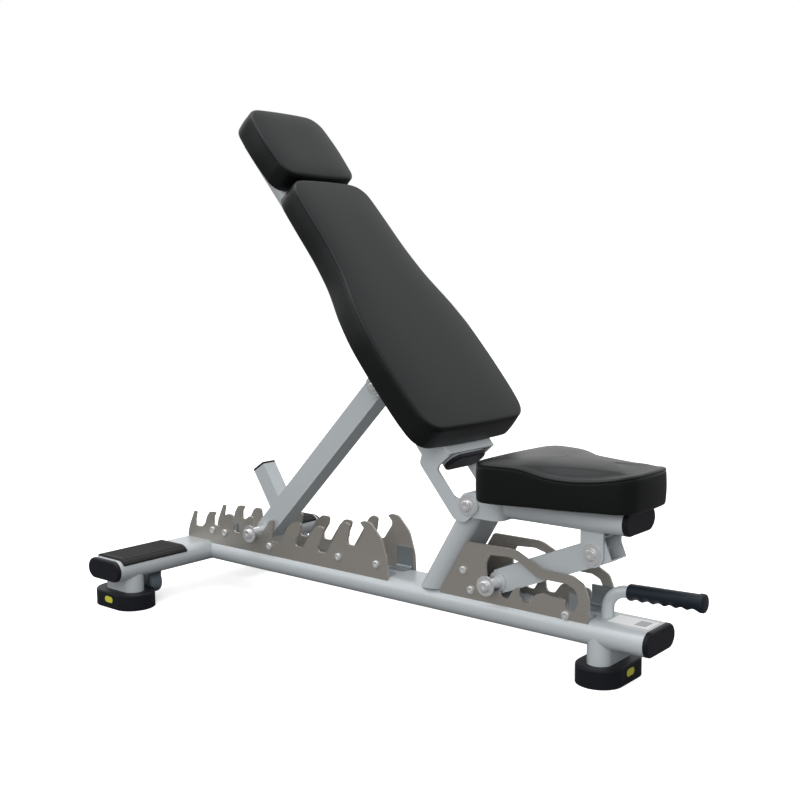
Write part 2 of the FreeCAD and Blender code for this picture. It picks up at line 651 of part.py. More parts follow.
def carry_handle():
    """A bent tube that stands on the base tube, with a rubber grip on its free end."""
    foot = Vector(station(size("handle_station")), 0, size("base_top") + size("weld_gap"))
    corner = Vector(foot.x + 2.0, 0, size("handle_height") - 3.0)
    tip = Vector(station(size("grip_end")) - 4.0, 0, size("handle_height") + 4.0)
    down = (foot - corner).normalize()
    along = (tip - corner).normalize()
    half = down.getAngle(along) / 2
    run = size("handle_bend") / math.tan(half)
    centre = corner + (down + along).normalize() * (size("handle_bend") / math.sin(half))
    middle = centre + (corner - centre).normalize() * size("handle_bend")
    first = corner + down * run
    second = corner + along * run
    edges = [Part.LineSegment(foot, first).toShape(), Part.Arc(first, middle, second).toShape(),
             Part.LineSegment(second, tip).toShape()]
    path = Part.Wire(edges)
    ring = Part.Wire(Part.makeCircle(size("handle_tube") / 2, foot, first - foot))
    swept = path.makePipeShell([ring], True, False)
    level = Part.makeBox(100, 100, 100, foot - Vector(50, 50, 100))
    tube = doc.addObject("Part::Feature", "carry_handle")
    tube.Shape = swept.cut(level)
    keep(tube, "carry_handle")
    grip_from = corner + along * ((station(size("grip_start")) - corner.x) / along.x)
    grip_long = (station(size("grip_end")) - grip_from.x) / along.x
    grip = bar("grip_raw", lambda s: disc(s, "Dims.grip_width"), str(grip_long),
               turned(grip_from, heading(corner, tip)))
    doc.recompute()
    rounded = doc.addObject("Part::Fillet", "grip_round")
    rounded.Base = grip
    rounded.Edges = [(number, 4.0, 4.0) for number, edge in enumerate(grip.Shape.Edges, 1)
                     if edge.Closed and edge.Length > 1]
    hole = bar("grip_bore", lambda s: disc(s, "Dims.handle_tube + Dims.plug_play"), str(grip_long - 2.4),
               turned(ahead(grip_from, heading(corner, tip), -1.0), heading(corner, tip)))
    keep(cut("handle_grip", rounded, hole), "handle_grip")


# ---------------------------------------------------------------- ladders


# Back slope and top of each rear tooth: station, level and corner radius, up to its overhanging tip.
REAR_TEETH = [
    [(-34, 149, 12), (-14, 189, 3), (-5, 190, 3)],
    [(27, 161, 4), (34, 179, 12), (45, 194, 12), (71, 197, 3), (61, 184, 8)],
    [(104, 191, 8), (113, 197, 6), (131, 197, 5)],
    [(168, 163, 4), (180, 193, 12), (196, 203, 10), (207, 199, 4)],
    [(238, 166, 6), (262, 197, 10), (275, 204, 6), (280, 201, 3)],
    [(328, 194, 16), (348, 208, 14), (372, 208, 5), (369, 190, 6)],
    [(406, 193, 16), (422, 208, 14), (445, 208, 5), (443, 196, 6)],
    [(481, 192, 30), (500, 222, 16), (511, 229, 6), (527, 227, 5), (522, 197, 8)],
]


def rear_ladder_corners():
    """Outline of the rear ladder: hooked teeth with a round seat behind each of them."""
    seat_radius = size("pin_width") / 2 + size("pin_play")
    foot = size("base_top") - size("tube_depth") / 4
    corners = [(-39, foot, 2), (-40, foot + 20, 8)]
    for number, tooth in enumerate(REAR_TEETH, 1):
        here = size("notch_station_%d" % number)
        rest = size("notch_level_%d" % number)
        corners += tooth
        corners.append((here - seat_radius, rest + 2, 8))
        corners.append((here - seat_radius, rest - seat_radius, seat_radius))
        corners.append((here + seat_radius - 1, rest - seat_radius, seat_radius - 1))
    last = size("notch_station_8")
    corners += [(last + 37, 214, 12), (last + 38, 223, 8), (last + 25, 236, 2), (last + 36, 240, 6),
                (last + 56, 239, 20), (last + 88, 206, 40), (last + 103, 158, 40), (last + 106, foot, 2)]
    return corners


def seat_ladder_corners():
    """Outer edge of the seat ladder; its rear edge follows the leaning post."""
    foot = size("base_top") - size("tube_depth") / 4
    top = size("seat_ladder_top")
    end = size("seat_ladder_end")
    slope = math.tan(math.radians(size("post_lean")))
    offset = (size("tube_depth") / 2 + 0.3) / math.cos(math.radians(size("post_lean")))

    def post_front(level):
        return size("pivot_station") - (size("pivot_height") - level) * slope + offset

    return [(post_front(foot), foot, 0), (post_front(top), top, 10), (975, top, 60), (1038, 206, 30),
            (end - 38, 204, 20), (end - 12, 190, 14), (end, 160, 30), (end - 2, foot, 2)]


def seat_window_corners():
    """The closed window that the link pin travels in, with its notches along the bottom."""
    radius = size("pin_width") / 2 + size("pin_play")
    home = size("seat_notch_station")
    level = size("seat_notch_level")
    return [(home - radius, level, 8), (home - radius, level - radius, radius),
            (home + radius, level - radius, radius), (home + radius + 4, level - 11, 4),
            (942, 131, 8), (958, 130, 9), (968, 148, 8), (984, 165, 6), (987, 140, 8), (992, 131, 9),
            (1008, 131, 9), (1024, 152, 10), (1042, 159, 10), (1070, 154, 12), (1091, 155, 8),
            (1094, 139, 8), (1101, 130.5, 8), (1113, 133, 12), (1124, 158, 16), (1114, 178, 12),
            (1096, 186, 14), (1030, 186.5, 18), (984, 213, 22), (960, 219, 20), (914, 216, 8),
            (home - radius - 2, 196, 8)]


REAR_BOLTS = [(57.0, 149.0), (103.0, 148.0), (263.0, 137.0), (491.0, 146.0), (606.0, 147.0)]
SEAT_BOLTS = [(847.0, 173.5), (866.0, 134.0), (1094.0, 123.5)]


def ladders():
    tools = {}
    for name, side in SIDES:
        tools[name] = solid_base_tube("ladder_cope_" + name, "Dims.weld_gap")
    for name, side in SIDES:
        label = "rear_ladder_" + name
        y = side * (size("ladder_reach") - size("ladder_plate") / 2)
        place = Placement(Vector(CROSS_X, y, 0), Rotation())
        raw = plate(label + "_raw", lambda s: outline(s, rear_ladder_corners()), "Dims.ladder_plate", place)
        cross = solid_cross_tube(label + "_cope", "Dims.weld_gap")
        keep(cut(label, raw, tools[name], cross), label)
        label = "seat_ladder_" + name

        def draw(sketch):
            outline(sketch, seat_ladder_corners())
            outline(sketch, seat_window_corners())

        raw = plate(label + "_raw", draw, "Dims.ladder_plate", place)
        keep(cut(label, raw, tools[name]), label)


def ladder_hardware():
    """Angle brackets that stand inside the ladder plates on the base tube, and the bolts."""
    inner = size("ladder_reach") - size("ladder_plate")
    rear = []
    seat = []
    bolts = []
    floor = size("base_top") + size("weld_gap")
    angles = (("rear", 20.0, 26.0), ("rear", 610.0, 50.0), ("seat", 1120.0, 46.0))
    for kind, at, tall in angles:
        for name, side in SIDES:
            tag = "%s_angle_%d_%s" % (kind, int(at), name)
            corners = [(0, 0, 0), (32, 0, 0), (32, 4, 0), (4, 4, 4), (4, tall, 0), (0, tall, 0)]
            body = doc.addObject("PartDesign::Body", tag)
            sketch = sketch_in(body, "YZ_Plane")
            outline(sketch, [(-side * x, z, r) for x, z, r in corners])
            feature = body.newObject("PartDesign::Pad", tag + "_pad")
            feature.Profile = sketch
            feature.Length = 44.0
            feature.SideType = "Symmetric"
            y = side * (inner - size("weld_gap"))
            body.Placement = Placement(Vector(station(at), y, floor), Rotation())
            (rear if kind == "rear" else seat).append(body)
    for kind, marks in (("rear", REAR_BOLTS), ("seat", SEAT_BOLTS)):
        for number, (at, level) in enumerate(marks):
            for name, side in SIDES:
                tag = "%s_bolt_%d_%s" % (kind, number, name)
                face = Vector(station(at), side * (size("ladder_reach") + 0.05), level)
                bolts.append(button_head(tag, face, side, "0.72"))
    keep(group("rear_ladder_brackets", rear), "rear_ladder_brackets")
    keep(group("seat_ladder_brackets", seat), "seat_ladder_brackets")
    keep(group("ladder_bolts", bolts), "ladder_bolts")


# ---------------------------------------------------------------- backrest


def back_place(along, above, side=0.0):
    """Placement in the backrest: local -X runs up the back, local Z comes out of the pads."""
    return Placement(back_point(along, above, side), Rotation(Vector(0, 1, 0), size("back_angle")))


def back_tube():
    far_end = HEADREST_START + size("headrest_length") - size("back_tube_short")
    rise = size("back_tube_rise")
    long_way = str(far_end - size("back_tube_start"))
    tube = bar("back_tube", tube_profile, long_way, back_place(far_end, rise))
    keep(tube, "back_tube")
    plug_cap("back_cap_lower", back_place(size("back_tube_start"), rise))
    upper = back_place(far_end, rise)
    plug_cap("back_cap_upper", upper * Placement(Vector(0, 0, 0), Rotation(Vector(0, 0, 1), 180)))


def back_brackets():
    """Side plates from the main pivot up to the back tube, and the plates under the pads."""
    middle = (BRACKET_INNER + BRACKET_OUTER) / 2
    start = size("back_tube_start")
    top = size("back_tube_rise") + size("tube_depth") / 2
    low = size("back_tube_rise") - size("tube_depth") / 2 - 9
    corners = [(24, -30, 24), (22, 18, 20), (-2, 26, 16), (-30, -18, 16), (-start + 3, -18, 10),
               (-start - 1, -8, 8), (-start - 1, top, 0), (-start - 170, top, 0),
               (-start - 170, low + 10, 8), (-start - 62, low, 20), (-start - 44, low, 6),
               (-start - 34, low - 17, 14), (4, low - 17, 22)]
    for name, side in SIDES:
        label = "back_bracket_" + name

        def draw(sketch):
            outline(sketch, corners)
            disc(sketch, "Dims.pivot_bolt + Dims.running_play")

        keep(plate(label, draw, "Dims.bracket_plate", back_place(0, 0, side * middle)), label)
    plates = []
    under = top + size("weld_gap")
    for tag, at, long_way in (("lower", start + 2, 168.0), ("middle", start + 470, 90.0),
                              ("head", HEADREST_START + size("head_plate_inset"), 120.0)):
        place = back_place(at + long_way, under)
        piece = bar("mount_" + tag, lambda s: rectangle(s, "Dims.mount_width + 14", "Dims.mount_plate"),
                    str(long_way), place * Placement(Vector(0, 0, size("mount_plate") / 2), Rotation()))
        plates.append(piece)
    spacers = []
    for name, side in SIDES:
        gap = BRACKET_INNER - HALF_TUBE - 2 * size("weld_gap")
        y = side * (HALF_TUBE + size("weld_gap") + gap / 2)
        spacer = doc.addObject("Part::Box", "bracket_spacer_" + name)
        spacer.Length = 120
        spacer.Width = gap
        spacer.Height = 20
        at = back_place(start + 145, size("back_tube_rise") - 10, y - gap / 2)
        spacer.Placement = at
        spacers.append(spacer)
    keep(group("back_mount_plates", plates + spacers), "back_mount_plates")


def pad_half_outline(shift):
    """Hourglass outline of the back pad, as (along the back, half width, rounding)."""
    start = size("pad_start")
    long_way = size("pad_length")
    wide = size("pad_wide") / 2
    narrow = size("pad_narrow") / 2
    return [(start + shift, wide - 30 - shift, 40), (start + 55, wide - shift, 60),
            (start + 0.34 * long_way, wide - shift, 160), (start + 0.66 * long_way, narrow - shift, 260),
            (start + long_way - 50, narrow - 4 - shift, 60), (start + long_way - shift, narrow - 12 - shift, 45)]


def headrest_half_outline(shift):
    start = HEADREST_START
    long_way = size("headrest_length")
    wide = size("headrest_wide") / 2
    narrow = size("headrest_narrow") / 2
    return [(start + shift, narrow - 6 - shift, 34), (start + 0.55 * long_way, wide - shift, 200),
            (start + long_way - shift, narrow - 10 - shift, 50)]


def mirrored(half):
    first = [(-along, y, radius) for along, y, radius in half]
    second = [(-along, -y, radius) for along, y, radius in reversed(half)]
    return first + second


def cushions():
    level = size("back_tube_rise") + size("tube_depth") / 2 + size("mount_plate") + 2 * size("weld_gap")
    cushion_level = level + size("board_thickness") + 0.3
    inset = size("board_inset")
    for label, draw_half in (("back", pad_half_outline), ("headrest", headrest_half_outline)):
        board = upright(label + "_board", lambda s: outline(s, mirrored(draw_half(inset))),
                        "Dims.board_thickness", back_place(0, level))
        keep(board, label + "_board")
        soft = upright(label + "_pad", lambda s: outline(s, mirrored(draw_half(0.0))),
                       "Dims.back_cushion", back_place(0, cushion_level))
        keep(soft, label + "_pad")


def strut_ears():
    """Two ears under the back tube and the bolt that the strut swings on."""
    ears = []
    along = size("strut_hinge_along")
    below = -size("strut_hinge_below")
    top = size("back_tube_rise") - size("tube_depth") / 2 - size("weld_gap") - below
    inner = size("strut_width") / 2 + size("side_play")
    for name, side in SIDES:
        corners = [(-34, top, 0), (-21, -21, 21), (21, -21, 21), (34, top, 0)]

        def draw(sketch):
            outline(sketch, corners)
            disc(sketch, "Dims.strut_bolt + Dims.running_play")

        y = side * (inner + size("bracket_plate") / 2)
        ears.append(plate("strut_ear_" + name, draw, "Dims.bracket_plate", back_place(along, below, y)))
    keep(group("strut_ears", ears), "strut_ears")
    washers = []
    heads = []
    reach = inner + size("bracket_plate") + 0.1 + size("washer_thickness")
    for name, side in SIDES:
        middle = STRUT_HINGE + Vector(0, side * (reach - size("washer_thickness") / 2), 0)
        washers.append(washer("strut_washer_" + name, "Dims.small_washer",
                              "Dims.strut_bolt + Dims.running_play", middle))
        heads.append(button_head("strut_head_" + name, STRUT_HINGE + Vector(0, side * reach, 0), side, "0.8"))
    shaft = rod("strut_shaft", "Dims.strut_bolt", str(2 * reach + 1), STRUT_HINGE)
    keep(fuse("strut_pivot_bolt", shaft, *heads), "strut_pivot_bolt")
    keep(group("strut_pivot_washers", washers), "strut_pivot_washers")


def pad_bolts():
    """Screws that hold the boards, seen on the underside of the mount plates."""
    screws = []
    top = size("back_tube_rise") + size("tube_depth") / 2
    reach = HALF_TUBE + size("pad_screw_inset")
    upper = HEADREST_START + size("pad_screw_upper") - size("back_tube_start")
    for number, along in enumerate((size("pad_screw_middle"), upper)):
        for name, side in SIDES:
            screw = doc.addObject("Part::Cylinder", "pad_screw_%d_%s" % (number, name))
            screw.setExpression("Radius", "Dims.pad_screw / 2")
            screw.setExpression("Height", "Dims.pad_screw_height")
            screw.Placement = back_place(size("back_tube_start") + along, top - size("pad_screw_height"), side * reach)
            screws.append(screw)
    keep(group("pad_bolts", screws), "pad_bolts")


# ---------------------------------------------------------------- strut


def square_profile(width, height, wall):
    def draw(sketch):
        rectangle(sketch, width, height)
        rectangle(sketch, "%s - 2 * %s" % (width, wall), "%s - 2 * %s" % (height, wall))
    return draw


def strut():
    """Square strut from the lock pin up to its hinge, with the stub for the flat position."""
    end = 21.0
    tube = bar("strut_tube_raw", square_profile("Dims.strut_width", "Dims.strut_width", "Dims.strut_wall"),
               str(STRUT_LENGTH + end), turned(LOCK_PIN, STRUT_ANGLE))
    cope = rod("strut_cope", "Dims.sleeve_width + 2 * Dims.weld_gap", "Dims.tube_width", LOCK_PIN)
    hole = rod("strut_hole", "Dims.strut_bolt + Dims.running_play", "Dims.tube_width", STRUT_HINGE)
    keep(cut("strut_tube", tube, cope, hole), "strut_tube")
    sleeve = rod("strut_sleeve_raw", "Dims.sleeve_width", "Dims.strut_width + 10", LOCK_PIN)
    bore = rod("strut_sleeve_bore", "Dims.pin_width + Dims.running_play", "Dims.tube_width", LOCK_PIN)
    keep(cut("strut_sleeve", sleeve, bore), "strut_sleeve")
    root = ahead(LOCK_PIN, STRUT_ANGLE, size("stub_offset"))
    lean = 180 - size("stub_lean")
    raw = bar("strut_stub_raw", square_profile("Dims.stub_width", "Dims.stub_width", "Dims.strut_wall"),
              "Dims.stub_length", turned(root, lean))
    trim = bar("strut_stub_trim", lambda s: rectangle(s, "Dims.strut_width + 2 * Dims.weld_gap",
                                                      "Dims.strut_width + 2 * Dims.weld_gap"),
               str(2 * STRUT_LENGTH), turned(ahead(LOCK_PIN, STRUT_ANGLE, -STRUT_LENGTH), STRUT_ANGLE))
    below = bar("strut_stub_below", lambda s: rectangle(s, "Dims.tube_width", "Dims.tube_width"),
                str(2 * STRUT_LENGTH),
                turned(ahead(ahead(LOCK_PIN, STRUT_ANGLE, -STRUT_LENGTH), STRUT_ANGLE - 90,
                             size("tube_width") / 2), STRUT_ANGLE))
    keep(cut("strut_stub", raw, trim, below), "strut_stub")
    top = ahead(root, lean, size("stub_length"))
    cap = bar("stub_cap_raw", lambda s: rectangle(s, "Dims.stub_width", "Dims.stub_width"), "6",
              turned(top, lean))
    doc.recompute()
    edges = []
    for number, edge in enumerate(cap.Shape.Edges, 1):
        local = cap.Placement.inverse().multVec(edge.CenterOfMass)
        if local.x > 5.9:
            edges.append((number, 2.5, 2.5))
    rounded = doc.addObject("Part::Fillet", "stub_cap_round")
    rounded.Base = cap
    rounded.Edges = edges
    plug = bar("stub_cap_plug", lambda s: rectangle(s, "Dims.stub_width - 2 * (Dims.strut_wall + Dims.plug_play)",
                                                    "Dims.stub_width - 2 * (Dims.strut_wall + Dims.plug_play)"),
               "18", turned(ahead(top, lean, -15.0), lean))
    keep(fuse("strut_stub_cap", rounded, plug), "strut_stub_cap")
    lock_pin("strut", LOCK_PIN)


def lock_pin(name, centre):
    """A steel pin through a sleeve, closed at each end by a large washer and a button head."""
    keep(rod(name + "_pin", "Dims.pin_width", "Dims.pin_length", centre), name + "_pin")
    pieces = []
    half = size("pin_length") / 2 + size("weld_gap")
    for tag, side in SIDES:
        middle = centre + Vector(0, side * (half + size("washer_thickness") / 2), 0)
        pieces.append(rod("%s_pin_washer_%s" % (name, tag), "Dims.washer_width", "Dims.washer_thickness",
                          middle))
        face = centre + Vector(0, side * (half + size("washer_thickness") + 0.05), 0)
        pieces.append(button_head("%s_pin_head_%s" % (name, tag), face, side))
    keep(group(name + "_pin_ends", pieces), name + "_pin_ends")


# ---------------------------------------------------------------- seat and link


def seat_frame():
    start = station(size("seat_tube_start"))
    level = PIVOT.z + size("seat_rise")
    tube = bar("seat_tube", tube_profile, "Dims.seat_tube_end - Dims.seat_tube_start",
               Placement(Vector(start, 0, level), Rotation()))
    keep(tube, "seat_tube")
    plug_cap("seat_tube_cap", Placement(Vector(station(size("seat_tube_end")), 0, level), Rotation()))
    seat_bracket(start, level)
    link_ears(level)


def seat_bracket(start, level):
    """A bent strap: two ears on the main pivot joined by a web on the end of the seat tube."""
    web = start - size("weld_gap") - PIVOT.x
    thick = size("bracket_plate")
    rounding = 18.0
    outer = [(-40, EAR_OUTER, 0), (web, EAR_OUTER, rounding), (web, -EAR_OUTER, rounding),
             (-40, -EAR_OUTER, 0), (-40, -EAR_INNER, 0), (web - thick, -EAR_INNER, rounding - thick),
             (web - thick, EAR_INNER, rounding - thick), (-40, EAR_INNER, 0)]
    height = size("ear_height")
    strap = upright("seat_bracket_strap", lambda s: outline(s, outer), "Dims.ear_height",
                    Placement(PIVOT - Vector(0, 0, height / 2), Rotation()))
    half = height / 2
    tip = [(-half, -half, half), (web + 20, -half - 0.01, 0), (web + 20, half + 0.01, 0), (-half, half, half)]
    body = doc.addObject("PartDesign::Body", "seat_bracket_side")
    sketch = sketch_in(body, "XZ_Plane")
    outline(sketch, tip)
    feature = body.newObject("PartDesign::Pad", "seat_bracket_side_pad")
    feature.Profile = sketch
    feature.Length = 4 * EAR_OUTER
    feature.SideType = "Symmetric"
    body.Placement = Placement(PIVOT, Rotation())
    rounded = doc.addObject("Part::MultiCommon", "seat_bracket_round")
    rounded.Shapes = [strap, body]
    bore = rod("seat_bracket_bore", "Dims.pivot_bolt + Dims.running_play", "Dims.tube_width * 2", PIVOT)
    keep(cut("seat_bracket", rounded, bore), "seat_bracket")


def link_ears(level):
    top = level - size("tube_depth") / 2 - size("weld_gap") - LINK_HINGE.z
    inner = size("link_width") / 2 + size("side_play")
    ears = []
    washers = []
    heads = []
    reach = inner + size("bracket_plate") + 0.1 + size("washer_thickness")
    for name, side in SIDES:
        corners = [(-25, top, 0), (-25, -26, 24), (25, -26, 24), (25, top, 0)]

        def draw(sketch):
            outline(sketch, corners)
            disc(sketch, "Dims.strut_bolt + Dims.running_play")

        at = LINK_HINGE + Vector(0, side * (inner + size("bracket_plate") / 2), 0)
        ears.append(plate("link_ear_" + name, draw, "Dims.bracket_plate", Placement(at, Rotation())))
        middle = LINK_HINGE + Vector(0, side * (reach - size("washer_thickness") / 2), 0)
        washers.append(washer("link_washer_" + name, "Dims.washer_width",
                              "Dims.strut_bolt + Dims.running_play", middle))
        heads.append(button_head("link_head_" + name, LINK_HINGE + Vector(0, side * reach, 0), side))
    keep(group("link_ears", ears), "link_ears")
    shaft = rod("link_shaft", "Dims.strut_bolt", str(2 * reach + 1), LINK_HINGE)
    keep(fuse("link_pivot_bolt", shaft, *heads), "link_pivot_bolt")
    keep(group("link_pivot_washers", washers), "link_pivot_washers")


def seat_half_outline(shift):
    start = size("seat_pad_start") - size("pivot_station")
    long_way = size("seat_pad_length")
    wide = size("seat_pad_wide") / 2
    narrow = size("seat_pad_narrow") / 2
    return [(start + shift, wide - 34 - shift, 34), (start + 0.13 * long_way, wide - shift, 44),
            (start + 0.7 * long_way, narrow + 18 - shift, 140), (start + long_way - shift, narrow - shift, 42)]


def seat_cushion():
    level = size("seat_rise") + size("tube_depth") / 2 + size("weld_gap")
    for label, shift, height, above in (
            ("seat_board", size("board_inset"), "Dims.board_thickness", level),
            ("seat_pad", 0.0, "Dims.seat_cushion", level + size("board_thickness") + 0.3)):
        half = seat_half_outline(shift)
        corners = [(x, y, r) for x, y, r in half] + [(x, -y, r) for x, y, r in reversed(half)]
        place = Placement(PIVOT + Vector(0, 0, above), Rotation())
        keep(upright(label, lambda s: outline(s, corners), height, place), label)


def link():
    end = size("link_overhang")
    tube = bar("link_tube_raw", square_profile("Dims.link_width", "Dims.link_depth", "Dims.strut_wall"),
               str(LINK_LENGTH + end), turned(LINK_PIN, LINK_ANGLE))
    cope = rod("link_cope", "Dims.sleeve_width + 2 * Dims.weld_gap", "Dims.tube_width", LINK_PIN)
    hole = rod("link_hole", "Dims.strut_bolt + Dims.running_play", "Dims.tube_width", LINK_HINGE)
    keep(cut("link_tube", tube, cope, hole), "link_tube")
    sleeve = rod("link_sleeve_raw", "Dims.sleeve_width", "Dims.link_width + 4", LINK_PIN)
    bore = rod("link_sleeve_bore", "Dims.pin_width + Dims.running_play", "Dims.tube_width", LINK_PIN)
    keep(cut("link_sleeve", sleeve, bore), "link_sleeve")
    lock_pin("link", LINK_PIN)


# ---------------------------------------------------------------- build and export


def check_document():
    doc.recompute()
    for item in doc.Objects:
        bad = [word for word in item.State if word in ("Invalid", "Error")]
        if bad:
            raise RuntimeError("%s is %s" % (item.Name, ", ".join(bad)))
    for node in NODES:
        if node.Shape.isNull() or not node.Shape.isValid() or not node.Shape.Solids:
            raise RuntimeError("%s has no sound shape" % node.Label)


def export_nodes():
    os.makedirs("parts", exist_ok=True)
    for node in NODES:
        node.Shape.exportStep("parts/%s.step" % node.Label)


frame_tubes()
seat_post()
pivot_hardware()
feet()
step_pads()
wheels()
carry_handle()
ladders()
ladder_hardware()
back_tube()
back_brackets()
cushions()
strut_ears()
pad_bolts()
strut()
seat_frame()
seat_cushion()
link()
check_document()
export_nodes()
print("%d nodes, box %s" % (len(NODES), [n.Label for n in NODES][:3]))
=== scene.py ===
"""Adjustable weight bench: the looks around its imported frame, piece by piece as the bench is put together."""
import json
import math

import bmesh
import bpy
import numpy as np
from mathutils import Matrix, Vector


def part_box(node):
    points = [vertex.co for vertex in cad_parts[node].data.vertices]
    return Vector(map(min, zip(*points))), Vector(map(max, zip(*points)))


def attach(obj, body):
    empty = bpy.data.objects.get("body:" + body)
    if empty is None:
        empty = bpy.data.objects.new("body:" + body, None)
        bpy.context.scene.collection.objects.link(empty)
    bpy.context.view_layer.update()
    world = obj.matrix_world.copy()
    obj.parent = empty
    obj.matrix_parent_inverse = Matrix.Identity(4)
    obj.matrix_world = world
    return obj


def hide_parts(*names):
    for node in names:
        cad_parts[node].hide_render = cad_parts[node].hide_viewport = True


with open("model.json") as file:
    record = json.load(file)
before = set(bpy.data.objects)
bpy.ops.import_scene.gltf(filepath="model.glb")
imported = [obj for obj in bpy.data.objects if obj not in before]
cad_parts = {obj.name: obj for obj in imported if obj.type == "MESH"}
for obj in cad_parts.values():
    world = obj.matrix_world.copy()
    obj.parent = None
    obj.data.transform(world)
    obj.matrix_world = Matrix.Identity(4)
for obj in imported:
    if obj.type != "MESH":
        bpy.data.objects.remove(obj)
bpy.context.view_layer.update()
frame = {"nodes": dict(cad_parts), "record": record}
steel = frame["nodes"]
joints = {joint["name"]: joint for joint in frame["record"]["behaviour"]["joints"]}

# ---------------------------------------------------------------- studio
# A plain white floor and backdrop, a large softbox overhead, a smaller one at the front left,
# and a camera a little above the seat, turned to the bench's right front side.
VIEW_AZIMUTH = math.radians(39.696)
VIEW_RISE = math.radians(6.542)
VIEW_ROLL = math.radians(-0.367)
VIEW_DISTANCE = 2.4749
VIEW_TARGET = Vector((-0.0222, 0.0205, 0.4887))
LENS_MM = 49.76
LENS_SHIFT = (0.00098, 0.01166)

scene = bpy.context.scene
scene.view_settings.view_transform = "Standard"
away = Vector((math.sin(VIEW_AZIMUTH) * math.cos(VIEW_RISE), -math.cos(VIEW_AZIMUTH) * math.cos(VIEW_RISE),
               math.sin(VIEW_RISE)))
lens = bpy.data.cameras.new("studio_camera")
lens.lens = LENS_MM
lens.sensor_width = 36.0
lens.shift_x, lens.shift_y = LENS_SHIFT
lens.clip_start, lens.clip_end = 0.05, 60.0
camera = bpy.data.objects.new("studio_camera", lens)
scene.collection.objects.link(camera)
camera.matrix_world = (Matrix.Translation(VIEW_TARGET + away * VIEW_DISTANCE)
                       @ away.to_track_quat("Z", "Y").to_matrix().to_4x4()
                       @ Matrix.Rotation(VIEW_ROLL, 4, "Z"))
scene.camera = camera

world = bpy.data.worlds.new("studio_air")
scene.world = world
world.use_nodes = True
BACKDROP = (1.0, 1.0, 1.0, 1.0)
HORIZON_LEVEL = 0.13
BACKDROP_LEVEL = 0.95
ZENITH_LEVEL = 0.95


def studio_air(tree):
    """White where it is seen directly; as a light source it is bright overhead and behind the bench.

    Round the horizon its level rises by a smooth step from HORIZON_LEVEL on the open side to BACKDROP_LEVEL at the
    backdrop. From there it rises by a smooth step of the direction's height to ZENITH_LEVEL.
    """
    link = tree.links.new
    seen = tree.nodes["Background"]
    seen.inputs["Color"].default_value = BACKDROP
    cast = tree.nodes.new("ShaderNodeBackground")
    direction = tree.nodes.new("ShaderNodeTexCoord")
    height = tree.nodes.new("ShaderNodeSeparateXYZ")
    level = tree.nodes.new("ShaderNodeMapRange")
    level.interpolation_type = "SMOOTHSTEP"
    level.inputs["From Min"].default_value = -0.05
    level.inputs["From Max"].default_value = 0.80
    facing = tree.nodes.new("ShaderNodeVectorMath")
    facing.operation = "DOT_PRODUCT"
    facing.inputs[1].default_value = (-math.sin(VIEW_AZIMUTH), math.cos(VIEW_AZIMUTH), 0.0)
    behind = tree.nodes.new("ShaderNodeMapRange")
    behind.interpolation_type = "SMOOTHSTEP"
    behind.inputs["From Min"].default_value = -0.1
    behind.inputs["From Max"].default_value = 0.75
    behind.inputs["To Min"].default_value = HORIZON_LEVEL
    behind.inputs["To Max"].default_value = BACKDROP_LEVEL
    link(direction.outputs["Generated"], facing.inputs[0])
    link(facing.outputs["Value"], behind.inputs["Value"])
    link(behind.outputs["Result"], level.inputs["To Min"])
    level.inputs["To Max"].default_value = ZENITH_LEVEL
    which = tree.nodes.new("ShaderNodeLightPath")
    mix = tree.nodes.new("ShaderNodeMixShader")
    link(direction.outputs["Generated"], height.inputs["Vector"])
    link(height.outputs["Z"], level.inputs["Value"])
    link(level.outputs["Result"], cast.inputs["Color"])
    link(which.outputs["Is Camera Ray"], mix.inputs["Fac"])
    link(cast.outputs["Background"], mix.inputs[1])
    link(seen.outputs["Background"], mix.inputs[2])
    link(mix.outputs["Shader"], tree.nodes["World Output"].inputs["Surface"])


studio_air(world.node_tree)


def softbox(name, place, aim, size, power, mirrored=True):
    """A square area light at place, pointed at aim. With mirrored off it adds no reflection of itself."""
    lamp = bpy.data.lights.new(name, "AREA")
    lamp.shape = "SQUARE"
    lamp.size = size
    lamp.energy = power
    box = bpy.data.objects.new(name, lamp)
    box.visible_glossy = mirrored
    scene.collection.objects.link(box)
    box.matrix_world = (Matrix.Translation(place)
                        @ (Vector(place) - Vector(aim)).to_track_quat("Z", "Y").to_matrix().to_4x4())


softbox("overhead_softbox", (-0.6, -0.4, 3.6), (0.0, 0.0, 0.4), 2.6, 40.0)
softbox("left_softbox", (-2.2, -2.6, 1.9), (0.0, 0.0, 0.6), 1.2, 5.0)
softbox("front_fill", (1.6, -3.4, 1.6), (0.0, 0.0, 0.4), 2.4, 98.0, mirrored=False)


def flat_finish(name, colour, roughness, metallic=0.0):
    """A material with only a Principled shader; returns the material and that shader."""
    made = bpy.data.materials.new(name)
    made.use_nodes = True
    shader = made.node_tree.nodes["Principled BSDF"]
    shader.inputs["Base Color"].default_value = (*colour, 1.0)
    shader.inputs["Roughness"].default_value = roughness
    shader.inputs["Metallic"].default_value = metallic
    return made, shader


